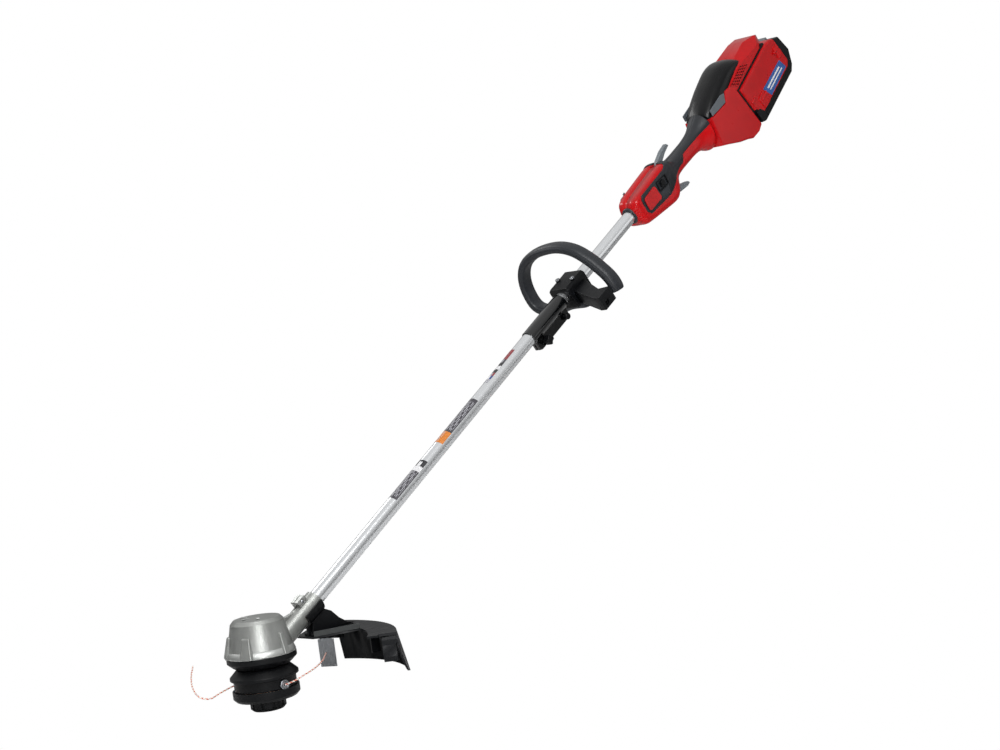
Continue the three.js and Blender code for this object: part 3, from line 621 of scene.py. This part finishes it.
def makeGripCover(side, nodeNames):
    # The soft cover: it frames the badge on the side, then wraps over the top of the grip.
    sign = -1 if side == "Left" else 1
    rows = handleRows(1181, 1444.2, 1.2)
    around, verts = 22, []
    grow, gap = handle["coverThickness"], handle["coverGap"]
    for i, x in enumerate(rows):
        section = tableAt(handle["sections"], x)
        low = tableAt(handle["coverLow"], x)[0]
        high = min(tableAt(handle["coverHigh"], x)[0], section[1])
        start, stop = angleAt(section, low), angleAt(section, high)
        edge = min(1, i, len(rows) - 1 - i)
        outer, inner = [], []
        for k in range(around + 1):
            t = k / around
            angle = start + (stop - start) * t
            fromRim = min(t, 1 - t if high < section[1] else 1.0)
            swell = grow * min(1.0, 0.35 + 4 * fromRim) * (0.4 + 0.6 * edge)
            y, z = arcPoint(section, angle, swell)
            outer.append((rearLean(x, z), sign * max(gap, -y), z))
            y, z = arcPoint(section, angle, -handle["coverDepth"])
            inner.append((rearLean(x, z), sign * max(gap, -y), z))
        verts += outer + inner[::-1]
    piece = newPiece("gripCover" + side, verts, loftFaces(len(rows), 2 * around + 2), boomFrame,
                     finishes["rubber"], "power_head", nodeNames)
    openings = ["leverOpening", "switchOpening"] if side == "Left" else ["leverOpening"]
    cutWith(piece, [slabCutter(*handle[opening]) for opening in openings])


print("trimmer: rear handle")
for side, node in (("Left", "handle_shell_left"), ("Right", "handle_shell_right")):
    makeHandleShell(side, node)
makeGripCover("Left", ["side_panel_left", "grip_overmould"])
makeGripCover("Right", ["side_panel_right"])

badge = {"outline": [(1189, -11), (1227, -11.5), (1230, -8), (1227.5, 16), (1224, 18.5), (1190, 16.5),
                     (1186.5, 13), (1186, -8)], "back": 28.6, "front": 30.4}
for name, sign in (("badgePlate", -1), ("badgePlateRight", 1)):
    sideSlab(name, sign, badge["outline"], badge["back"], badge["front"], boomFrame, finishes["red"],
             "power_head", "red_plastic", 0.5)

switchFrame = {"outline": [(1233.2, 0.2), (1266.4, -2.6), (1267.8, 17.4), (1234.6, 20)], "width": 0.16,
               "low": -30.2, "high": -28.0}


def makeSwitchFrame():
    # A narrow raised frame round the opening of the slide switch.
    outline = switchFrame["outline"]
    centre = Vector((sum(p[0] for p in outline) / len(outline), sum(p[1] for p in outline) / len(outline)))
    inner = [tuple(centre + (Vector(p) - centre) * (1 - switchFrame["width"])) for p in outline]
    count, verts = len(outline), []
    for y in (switchFrame["low"], switchFrame["high"]):
        verts += [(x, y, z) for x, z in outline] + [(x, y, z) for x, z in inner]
    faces = []
    for i in range(count):
        j = (i + 1) % count
        faces += [(i, j, j + count, i + count), (i + 2 * count, j + 2 * count, j + 3 * count, i + 3 * count),
                  (i, j, j + 2 * count, i + 2 * count), (i + count, j + count, j + 3 * count, i + 3 * count)]
    frame = newPiece("switchFrame", verts, faces, boomFrame, finishes["black"], "power_head")
    roundEdges(frame, 0.25)


makeSwitchFrame()
turnedRing("noseSeal", [(13.0, 1157.5), (16.4, 1158.5), (17.4, 1161), (17.4, 1163), (13.0, 1163)], boomFrame,
           finishes["rubber"], "power_head")


seamRing = {"rows": [(0.955, 1443.9), (0.985, 1444.2), (0.985, 1447.2), (0.955, 1447.4)], "middle": -6.4,
            "tall": 36.1, "half": 30, "sides": 72}


def makeSeamRing():
    # The dark joint ring where the grip meets the motor housing.
    verts, around = [], seamRing["sides"]
    for share, x in seamRing["rows"]:
        for k in range(around):
            angle = 2 * math.pi * k / around
            z = seamRing["middle"] + seamRing["tall"] * share * math.sin(angle)
            leaned = x + handle["lean"] * (z - handle["leanFoot"])
            verts.append((leaned, seamRing["half"] * share * math.cos(angle), z))
    newPiece("seamRing", verts, loftFaces(len(seamRing["rows"]), around), boomFrame, finishes["black"],
             "power_head")


makeSeamRing()


loop = {"lean": math.atan(0.25), "at": 940, "pivot": -40, "depth": 27.5, "thickness": 16.5, "squareness": 3.0,
        "crown": 1.6, "flat": 1.5, "steps": 120, "sides": 36,
        "path": [(-103, -19), (-101, -4), (-95, 10), (-82, 27), (-64, 46), (-37, 66), (-4, 76.5), (35, 76.5),
                 (70, 69), (98, 54), (113.5, 33), (119, 6), (113, -24), (104, -34), (90, -39), (64, -41),
                 (40, -38), (20, -34), (-22, -33.5)],
        "arm": [(958, -25.3), (922, -25.3), (889, -99), (889, -112), (924, -112), (920, -88)],
        "armLow": -22, "armHigh": 6, "armHole": ([(896, -17), (906, -17), (906, -9), (896, -9)], -120, -106)}


def makeLoop():
    # The bar of the loop: a rounded box section, crowned outside, leaning toward the user.
    lift = Matrix.Translation((0, 0, -loop["pivot"] * mm))
    foot = Matrix.Translation((loop["at"] * mm, 0, loop["pivot"] * mm))
    place = boomFrame @ foot @ Matrix.Rotation(loop["lean"], 4, "Y") @ lift
    steps, around, verts = loop["steps"], loop["sides"], []
    points = smoothRoute([(0, y, z) for y, z in loop["path"]], steps)
    for i, here in enumerate(points):
        along = (points[min(i + 1, steps)] - points[max(i - 1, 0)]).normalized()
        out = Vector((0, -along.z, along.y))
        if out.dot(here) < 0:
            out = -out
        end = min(i, steps - i)
        ease = 1 - 0.1 * max(0, 1 - end / 2) ** 2
        for k in range(around):
            angle = 2 * math.pi * k / around
            a, b = math.cos(angle), math.sin(angle)
            deep = math.copysign(abs(a) ** (2 / loop["squareness"]), a) * loop["depth"] / 2
            wide = math.copysign(abs(b) ** (2 / loop["squareness"]), b) * loop["thickness"] / 2
            wide += loop["crown"] * (1 - (2 * deep / loop["depth"]) ** 2) if b > 0 else 0
            deep -= loop["flat"] if a < -0.4 and b < 0.2 else 0
            verts.append(here + out * wide * ease + Vector((1, 0, 0)) * deep * ease)
    piece = newPiece("assistLoop", verts, loftFaces(steps + 1, around), place, finishes["rubber"],
                     "assist_handle", ["assist_loop"])
    roundEdges(piece, 1.4, 2, 50, clamp=False)


def makeArm():
    # The short arm from the clamp to the near end of the loop, with a dark hole in its end.
    verts = [(x, y, z) for z in (loop["armLow"], loop["armHigh"]) for x, y in loop["arm"]]
    arm = newPiece("assistArm", verts, loftFaces(2, len(loop["arm"])), boomFrame, finishes["black"],
                   "assist_handle", ["assist_arm"], smooth=False)
    cutWith(arm, [slabCutter(*loop["armHole"])])
    roundEdges(arm, 1.2)


print("trimmer: loop handle")
makeLoop()
makeArm()


ribs = {
    "turns": {79: 0.62, 151: 1.0, 209: 1.0, 281: 0.62},  # the turn round the cap and the share of full width
    # height, inner reach, its half width, outer reach, its half width
    "rows": [(87.4, 50, 14.5, 57.2, 9.0), (90.4, 50, 14, 57.0, 8.8), (104, 46, 10.6, 53.4, 7.4),
             (119, 42, 7.8, 49.4, 6.0), (121, 41, 7.4, 47.6, 5.6)],
}
capTrim = {"skirt": [(53.0, 86.9), (54.6, 87.2), (54.4, 89.6), (51.7, 97.4), (50.6, 97.6), (50.6, 87.0)],
           "mark": [(14, -3), (26, -3), (26, 3), (14, 3)], "markTurns": (118, 180, 242), "markAt": 145.2,
           "markTall": 1.2}


def turned(degrees):
    return Matrix.Rotation(math.radians(degrees), 4, "Z")


def makeRibs():
    for number, (turn, wide) in enumerate(ribs["turns"].items(), 1):
        verts = []
        for z, inner, innerHalf, outer, outerHalf in ribs["rows"]:
            verts += [(inner, -innerHalf * wide, z), (outer, -outerHalf * wide, z),
                      (outer, outerHalf * wide, z), (inner, innerHalf * wide, z)]
        piece = newPiece(f"capRib{number}", verts, loftFaces(len(ribs["rows"]), 4), turned(turn),
                         finishes["cast"], "lower_boom")
        roundEdges(piece, 1.1, 3, 20)


def makeCapTrim():
    # The skirt at the cap's foot and three low bars on its top.
    turnedRing("capSkirt", capTrim["skirt"], groundFrame, finishes["cast"], "lower_boom", "Z",
               96)
    for number, turn in enumerate(capTrim["markTurns"], 1):
        verts, faces = slabVerts(capTrim["mark"], 0, capTrim["markTall"])
        verts = [(x, z, capTrim["markAt"] + y) for x, y, z in verts]
        piece = newPiece(f"capMark{number}", verts, faces, turned(turn), finishes["cast"], "lower_boom")
        roundEdges(piece, 0.5)


guardCuts = {"foot": [(-5, 20), (36, 20), (36, 26), (21, 29), (11, 34), (5, 41), (1, 49), (0, 58), (-5, 58)],
             "top": [(-5, 95), (-5, 76), (0, 76), (1, 84), (5, 89.5), (12, 93.4), (12, 95)]}
guardEnd = {"turn": 42, "low": -245, "high": -185}
guardTrim = {"lip": [(0, 0), (75, 0), (75, 8.4), (0, 8.4)], "lipAt": (92, -18, 93.1), "lipTurn": -24.5,
             "web": [(98, 97.2), (186, 97.4), (169, 101), (154, 111), (140, 125), (127, 131), (100, 114)],
             "webHalf": 9}
eyelet = {"rim": [(4.6, 48.6), (8.2, 48.6), (8.4, 50.4), (7.6, 51.6), (5.6, 51.6), (4.8, 50.6)],
          "dish": [(2.7, 49.0), (5.0, 49.0), (5.0, 49.6), (2.7, 49.6)], "height": 40.5}


def makeGuardShell():
    # The guard again, with the corners of its open end rounded off.
    work = bmesh.new()
    work.from_mesh(nodes["guard"].data)
    bmesh.ops.remove_doubles(work, verts=work.verts, dist=dressing["weld"] * mm)
    work.verts.index_update()
    verts = [tuple(vert.co / mm) for vert in work.verts]
    faces = [tuple(vert.index for vert in face.verts) for face in work.faces]
    work.free()
    piece = newPiece("guardShell", verts, faces, groundFrame, finishes["black"], "lower_boom",
                     ["guard"])
    cutters = []
    for outline in guardCuts.values():
        shape = slabVerts(outline, guardEnd["low"], guardEnd["high"])
        cutters.append(plainShape("cutter", *shape, turned(guardEnd["turn"])))
    cutWith(piece, cutters)
    joinFlats(piece)
    roundEdges(piece, dressing["edge"])


def moved(*place):
    return Matrix.Translation([c * mm for c in place])


def makeGuardTrim():
    # The grey lip and the web of the guard, and the metal eyes that the line leaves by.
    lip = moved(*guardTrim["lipAt"]) @ turned(guardTrim["lipTurn"])
    slab("guardLip", guardTrim["lip"], -1, 1, lip, finishes["strip"], "lower_boom", "black_plastic", 0.5)
    half = guardTrim["webHalf"]
    slab("guardWeb", guardTrim["web"], -half, half, groundFrame, finishes["black"], "lower_boom",
         "black_plastic", 1.0)
    for side, turn in (("Near", -90), ("Far", 90)):
        place = moved(0, 0, eyelet["height"]) @ turned(turn)
        turnedRing("eyeletRim" + side, eyelet["rim"], place, finishes["steel"], "cutting_head")
        turnedRing("eyeletDish" + side, eyelet["dish"], place, finishes["red"], "cutting_head")


bolts = {"collar": [(0.01, -9.5), (2.6, -9.5), (2.6, 6.6), (4.6, 6.6), (4.6, 9.2), (4.1, 9.8), (0.01, 9.8)],
         "collarAt": (115, 0, 20),
         "clamp": [(0.01, -40), (2.5, -40), (2.5, 20.3), (4.6, 20.3), (4.6, 23.4), (4.1, 24), (2.2, 24),
                   (2.0, 22), (0.01, 22)],
         "clampSides": (-18.5, 18.5)}


def makeClampBolts():
    turnedBolt("collarBolt", bolts["collar"], boomFrame @ moved(*bolts["collarAt"]), "lower_boom", "Y",
               ["collar_bolt"])
    for number, y in enumerate(bolts["clampSides"], 1):
        turnedBolt(f"clampBolt{number}", bolts["clamp"], boomFrame @ moved(loop["at"], y, 0), "assist_handle",
                   "Z", [f"assist_bolt_{number}"])


print("trimmer: guard and clamp details")
makeGuardShell()
makeGuardTrim()
makeClampBolts()

print("trimmer: gear case details")
makeRibs()
makeCapTrim()


labels = {
    "labelUpper": {"from": 660, "to": 750, "edges": (40, 114), "kind": "patches"},
    "labelMiddle": {"from": 504, "to": 617, "edges": (44, 150), "kind": "orange"},
    "labelLower": {"from": 365, "to": 459, "edges": (44, 150), "kind": "white"},
}
labelSheet = {"tube": 12.7, "lift": 0.16, "thickness": 0.12, "cell": 1.15, "cellsAcross": 34}


def plainVinyl(name, rgb):
    return mouldedPlastic(name, {"colour": rgb, "edge": rgb, "roughness": 0.38, "grain": 1200, "depth": 0.015,
                                 "shade": 0.86, "wear": 0.1})


labelFinishes = [plainVinyl("vinylDark", (66, 64, 70)), plainVinyl("vinylPale", (176, 176, 182)),
                 plainVinyl("vinylOrange", (222, 132, 52)), plainVinyl("vinylWhite", (238, 238, 240)),
                 plainVinyl("vinylRed", (150, 60, 66)), plainVinyl("vinylBlue", (52, 70, 130)),
                 plainVinyl("vinylBlack", (34, 34, 38))]


def labelTone(kind, u, v, length):
    # Which finish a small cell of the label takes; u runs up the boom in mm, v across it from 0 to 1.
    # Rows of broken bars stand in for print, and speck breaks them up.
    bar = int(v * 17)
    speck = (int(u / 2.3) * 7919 + bar * 104729) % 11
    if kind == "patches":
        patch = int(u / 9)
        tone = [1, 5, 4, 6, 3, 6, 0, 4, 4, 4][min(9, patch)]
        if 0.3 < v < 0.75 and patch in (1, 2, 4, 6):
            return {1: 3, 2: 1, 4: 3, 6: 1}[patch]
        return tone if 0.12 < v else 6
    if kind == "orange":
        if u < 28:
            return 2 if v > 0.55 or u < 3 or u > 26 else (1 if bar % 2 and speck > 3 else 2)
        return 1 if 0.28 < v < 0.9 and bar % 2 and 4 < u - 28 < length - 36 and speck > 2 else 0
    if length - 26 < u < length - 15:
        return 3 if v > 0.2 else 0
    if u >= length - 15:
        return 3 if 0.45 < v < 0.7 and u < length - 5 else 6
    return 1 if 0.3 < v < 0.9 and bar % 2 and u > 5 and speck > 2 else 0


def makeLabel(name, look):
    # A thin sheet bent round the tube, in small cells that each take one finish.
    length, reach = look["to"] - look["from"], labelSheet["tube"] + labelSheet["lift"]
    columns, rows = round(length / labelSheet["cell"]), labelSheet["cellsAcross"]
    verts, faces, tones = [], [], []
    for i in range(columns + 1):
        for k in range(rows + 1):
            share = k / rows
            angle = math.radians(look["edges"][0] + (look["edges"][1] - look["edges"][0]) * share)
            x = look["from"] + length * i / columns
            verts.append((x, reach * math.cos(angle), reach * math.sin(angle)))
    for i in range(columns):
        for k in range(rows):
            a = i * (rows + 1) + k
            faces.append((a, a + 1, a + rows + 2, a + rows + 1))
            tones.append(labelTone(look["kind"], (i + 0.5) * length / columns, (k + 0.5) / rows, length))
    piece = newPiece(name, verts, faces, boomFrame, labelFinishes[0], "lower_boom")
    for finish in labelFinishes[1:]:
        piece.data.materials.append(finish)
    piece.data.polygons.foreach_set("material_index", tones)
    thick = piece.modifiers.new("vinylSheet", "SOLIDIFY")
    thick.thickness = labelSheet["thickness"] * mm
    thick.offset = -1


print("trimmer: labels")
for name, look in labels.items():
    makeLabel(name, look)


cover = {
    # x, lowest, highest, half width, squareness
    "sections": [(1449.5, 0, 30, 30, 2.2), (1452, 0, 33, 31, 2.2), (1464, 1, 40, 32.4, 2.3),
                 (1482, 3, 49, 33.8, 2.4), (1510, 8, 60, 34.6, 2.4), (1540, 15, 69, 34.8, 2.4),
                 (1558, 22, 73, 34.8, 2.4), (1574, 26, 73.4, 34.6, 2.4), (1588, 30, 70, 34.2, 2.4),
                 (1600, 38, 63.5, 33, 2.4), (1605, 44, 57, 31, 2.4)],
    "step": 2.5, "sides": 72, "edge": 2.5,
}


def makeMotorCover():
    # The glossy cover over the motor, round on top and narrower where it meets the grip.
    sections, around, verts = cover["sections"], cover["sides"], []
    rows = handleRows(sections[0][0], sections[-1][0], cover["step"])
    for x in rows:
        section = tableAt(sections, x)
        for k in range(around):
            y, z = arcPoint(section, 2 * math.pi * k / around)
            verts.append((x, y, z))
    piece = newPiece("motorCover", verts, loftFaces(len(rows), around), boomFrame, finishes["cover"],
                     "power_head", ["motor_cover"])
    roundEdges(piece, cover["edge"], 4, 40)


housing = {"insert": [(1455.5, 19.4), (1506, 17.4), (1515, 33.5), (1503, 37), (1455.5, 32)],
           "insertBack": 34.6, "insertFront": 36.4,
           "vent": [(1561, 20), (1617, 36), (1594, 46), (1541, 33)], "ventCells": (7, 4), "ventSide": 36.2,
           "ventBar": 0.05, "ventPlate": 1.6, "ventDepth": 1.35, "shadeBack": 36.05, "shadeFront": 36.4}


def makeVentMesh(name, y, sign, node):
    # A red plate pierced with rhombic holes, and dark plugs of painted shade that fill them.
    a, b, c, d = (Vector((x, z)) for x, z in housing["vent"])
    along, across = housing["ventCells"]
    low, high = housing["ventBar"], 1 - housing["ventBar"]
    verts, faces, plugs, plugFaces = [], [], [], []
    for i in range(along):
        for k in range(across):
            def spot(u, v):
                u, v = (i + u) / along, (k + v) / across
                point = (a.lerp(b, u)).lerp(d.lerp(c, u), v)
                verts.append((point.x, y, point.y))
                return len(verts) - 1
            corners = [spot(0, 0), spot(0.5, 0), spot(1, 0), spot(1, 0.5), spot(1, 1), spot(0.5, 1),
                       spot(0, 1), spot(0, 0.5)]
            hole = [spot(0.5, low), spot(high, 0.5), spot(0.5, high), spot(low, 0.5)]
            first = len(plugs)
            plugs += [(verts[n][0], y + sign * 0.1, verts[n][2]) for n in hole]
            plugs += [(verts[n][0], y - sign * housing["ventDepth"], verts[n][2]) for n in hole]
            plugFaces += [[first + n for n in face] for face in loftFaces(2, 4)]
            for n, (inner, outer) in enumerate(zip(hole, (1, 3, 5, 7))):
                after = hole[(n + 1) % 4]
                start, middle, end = (corners[(outer + step) % 8] for step in range(3))
                faces.append((start, middle, end, after, inner))
    # The plugs paint the shade inside the holes.
    newPiece(name + "PaintedShade", plugs, plugFaces, boomFrame, finishes["shade"], "power_head",
             smooth=False)
    piece = newPiece(name, verts, faces, boomFrame, finishes["red"], "power_head", [node])
    work = bmesh.new()
    work.from_mesh(piece.data)
    bmesh.ops.remove_doubles(work, verts=work.verts, dist=0.01 * mm)
    work.to_mesh(piece.data)
    work.free()
    thick = piece.modifiers.new("plate", "SOLIDIFY")
    thick.thickness = housing["ventPlate"] * mm
    thick.offset = sign  # on the right side this goes inward, behind ventShadeRight
    roundEdges(piece, 0.15, 1, 40)


screw = {
    # radius, rise over the shell, and how far the socket's six lobes swell
    "rows": [(3.4, 0.0, 0), (3.4, 0.5, 0), (2.9, 1.0, 0), (1.8, 1.15, 0.16), (1.6, 0.2, 0.16),
             (0.01, 0.1, 0)],
    "sides": 36, "sunk": 0.2,
    # along the boom, square to it, and out to the right
    "places": [(1467, -36, 36), (1512, -66, 36), (1560, -62, 36), (1626, 36, 36), (1654, 42, 36),
               (1178, -22, 24.6), (1256, -36, 26.6), (1200, 27, 24.9)],
}


def makeScrew(name, x, z, y):
    # A small pan-head screw with a six-lobed socket, seated in the right side.
    verts, around = [], screw["sides"]
    for radius, rise, lobes in screw["rows"]:
        for k in range(around):
            angle = 2 * math.pi * k / around
            reach = radius * (1 + lobes * math.cos(6 * angle))
            verts.append((x + reach * math.cos(angle), y + rise, z + reach * math.sin(angle)))
    newPiece(name, verts, loftFaces(len(screw["rows"]), around), boomFrame, finishes["steel"], "power_head")


print("trimmer: motor housing details")
makeMotorCover()
makeVentMesh("ventMeshLeft", -housing["ventSide"], 1, "vent_grille_left")
makeVentMesh("ventMeshRight", housing["ventSide"], -1, "vent_grille_right")
sides = {"Left": -1, "Right": 1}
for side, sign in sides.items():
    sideSlab("coverInsert" + side, sign, housing["insert"], housing["insertBack"], housing["insertFront"],
             boomFrame, finishes["insert"], "power_head", "grey_plastic", 0.5)
for number, (x, z, y) in enumerate(screw["places"], 1):
    makeScrew(f"housingScrew{number}", x, z, y - screw["sunk"])

finishes["labelBlue"] = plainVinyl("labelBlue", (44, 92, 164))
finishes["labelWhite"] = labelFinishes[3]
# Dark slabs behind both vents: painted shade seen through the holes.
for side, sign in sides.items():
    sideSlab("ventShade" + side, sign, housing["vent"], housing["shadeBack"], housing["shadeFront"],
             boomFrame, finishes["shade"], "power_head", "black_plastic", 0.1)

battery = {
    # name: outline, back, front, finish, slot, rounding
    "plates": {
        "batteryLabel": ([(-36, 1), (50, 0), (56, -24), (-26, -25.5)], 37.6, 38.5, "labelBlue",
                         "black_plastic", 0.2),
        "labelBar1": ([(-24, -6), (38, -6), (39.5, -10), (-22.5, -10)], 38.3, 38.75, "labelWhite",
                      "black_plastic", 0.08),
        "labelBar2": ([(-20, -14), (43, -14), (44, -17), (-19, -17)], 38.3, 38.75, "labelWhite",
                      "black_plastic", 0.08),
        "clipUpper": ([(52, 27), (68, 27), (70, 7), (60, 1), (52, 3)], 36.8, 40.6, "red", "red_plastic", 1.0),
        "clipUpperBar": ([(46, 23), (60, 23), (60, 18.5), (46, 18.5)], 38.6, 41.8, "red", "red_plastic", 0.8),
        "clipLower": ([(-64, 0), (-40, 2), (-38, -27), (-62, -27)], 36.8, 40.2, "red", "red_plastic", 1.0),
        "clipLowerBar": ([(-58, -6), (-34, -4.5), (-34, -9.5), (-58, -11)], 38.8, 41.6, "red",
                         "red_plastic", 0.8),
        "sideRail": ([(-84, 4), (-66, 9), (-66, 14), (-84, 10)], 36.8, 39.4, "red", "red_plastic", 0.9),
        "trayRib": ([(-66, -34), (60, -34), (62, -37.5), (-68, -37.5)], 37.2, 39.0, "black",
                    "black_plastic", 0.6),
        "trayCorner": ([(-90, -12), (-76, -14), (-68, -30), (-78, -43), (-90, -38)], 36.8, 39.6, "black",
                       "black_plastic", 1.2),
    },
    "strip": [(91.5, -1), (94.6, -1), (92.6, 22), (89.6, 22)], "stripHalf": 26,
}


def makeBatteryDetails():
    for side, sign in sides.items():
        for name, (outline, back, front, finish, slot, width) in battery["plates"].items():
            sideSlab(name + side, sign, outline, back, front, dockFrame, finishes[finish], "battery",
                     slot, width)
    slab("rearStrip", battery["strip"], -battery["stripHalf"], battery["stripHalf"], dockFrame,
         finishes["insert"], "battery", "grey_plastic", 0.8)


print("trimmer: battery details")
makeBatteryDetails()


studio = {
    "sky": 0.16, "gloss": 0.75, "glossHeight": 0.8,
    # place, target, size, power
    "lamps": {"keyLamp": ((-0.9, -1.6, 2.6), (0.6, 0, 0.5), (1.6, 1.0), 62),
              "frontLamp": ((-1.6, -2.6, 0.9), (0.8, 0, 0.5), (0.8, 0.8), 30),
              "fillLamp": ((2.6, -1.8, 1.2), (0.7, 0, 0.5), (1.2, 1.2), 3),
              "rimLamp": ((0.2, 2.0, 2.2), (0.7, 0, 0.5), (1.4, 0.6), 16)},
}
floorLook = {"half": 30000, "height": -0.6, "grey": 0.9}


def makeLamp(name, place, target, size, power):
    data = bpy.data.lights.new(name, "AREA")
    data.shape = "RECTANGLE"
    data.size, data.size_y = size
    data.energy = power
    light = bpy.data.objects.new(name, data)
    scene.collection.objects.link(light)
    light.location = place
    light.rotation_euler = (Vector(target) - Vector(place)).to_track_quat("-Z", "Y").to_euler()


def makeStudio():
    world = bpy.data.worlds.new("studioWorld")
    scene.world = world
    world.use_nodes = True
    tree = world.node_tree
    soft = tree.nodes["Background"]
    soft.inputs["Color"].default_value = (1, 1, 1, 1)
    soft.inputs["Strength"].default_value = studio["sky"]
    white = addNode(tree, "ShaderNodeBackground")
    white.inputs["Color"].default_value = (1, 1, 1, 1)
    white.inputs["Strength"].default_value = 1.0
    rays = addNode(tree, "ShaderNodeLightPath")
    seen = addNode(tree, "ShaderNodeMath", operation="MAXIMUM")
    tree.links.new(rays.outputs["Is Camera Ray"], seen.inputs[0])
    tree.links.new(rays.outputs["Is Transmission Ray"], seen.inputs[1])
    # Glossy rays see part of the white overhead, fading to the plain sky at the horizon.
    place = addNode(tree, "ShaderNodeTexCoord")
    split = addNode(tree, "ShaderNodeSeparateXYZ")
    tree.links.new(place.outputs["Generated"], split.inputs["Vector"])
    height = spread(tree, split.outputs["Z"], 0.0, studio["gloss"], 0.0, studio["glossHeight"])
    glossy = addNode(tree, "ShaderNodeMath", operation="MULTIPLY")
    tree.links.new(rays.outputs["Is Glossy Ray"], glossy.inputs[0])
    tree.links.new(height, glossy.inputs[1])
    both = addNode(tree, "ShaderNodeMath", operation="MAXIMUM")
    tree.links.new(seen.outputs[0], both.inputs[0])
    tree.links.new(glossy.outputs[0], both.inputs[1])
    mixed = addNode(tree, "ShaderNodeMixShader")
    tree.links.new(both.outputs[0], mixed.inputs["Fac"])
    tree.links.new(soft.outputs[0], mixed.inputs[1])
    tree.links.new(white.outputs[0], mixed.inputs[2])
    tree.links.new(mixed.outputs[0], tree.nodes["World Output"].inputs["Surface"])
    for name, setting in studio["lamps"].items():
        makeLamp(name, *setting)


def makeFloor():
    # A pale floor that the camera sees as plain white.
    half, height = floorLook["half"], floorLook["height"]
    verts = [(-half, -half, height), (half, -half, height), (half, half, height), (-half, half, height)]
    mesh = bpy.data.meshes.new("studioFloor")
    mesh.from_pydata([tuple(c * mm for c in v) for v in verts], [], [(0, 1, 2, 3)])
    floor = bpy.data.objects.new("studioFloor", mesh)
    scene.collection.objects.link(floor)
    finish, tree, shader = newMaterial("paleFloor", Roughness=0.9)
    shader.inputs["Base Color"].default_value = (*[floorLook["grey"]] * 3, 1)
    shader.inputs["Specular IOR Level"].default_value = 0.1
    glow = addNode(tree, "ShaderNodeEmission")
    glow.inputs["Strength"].default_value = 1.0
    rays = addNode(tree, "ShaderNodeLightPath")
    mixed = addNode(tree, "ShaderNodeMixShader")
    tree.links.new(rays.outputs["Is Camera Ray"], mixed.inputs["Fac"])
    tree.links.new(shader.outputs[0], mixed.inputs[1])
    tree.links.new(glow.outputs[0], mixed.inputs[2])
    tree.links.new(mixed.outputs[0], tree.nodes["Material Output"].inputs["Surface"])
    mesh.materials.append(finish)


print("trimmer: studio")
makeStudio()
makeFloor()
scene.view_settings.view_transform = "Standard"

print("trimmer: finishing")
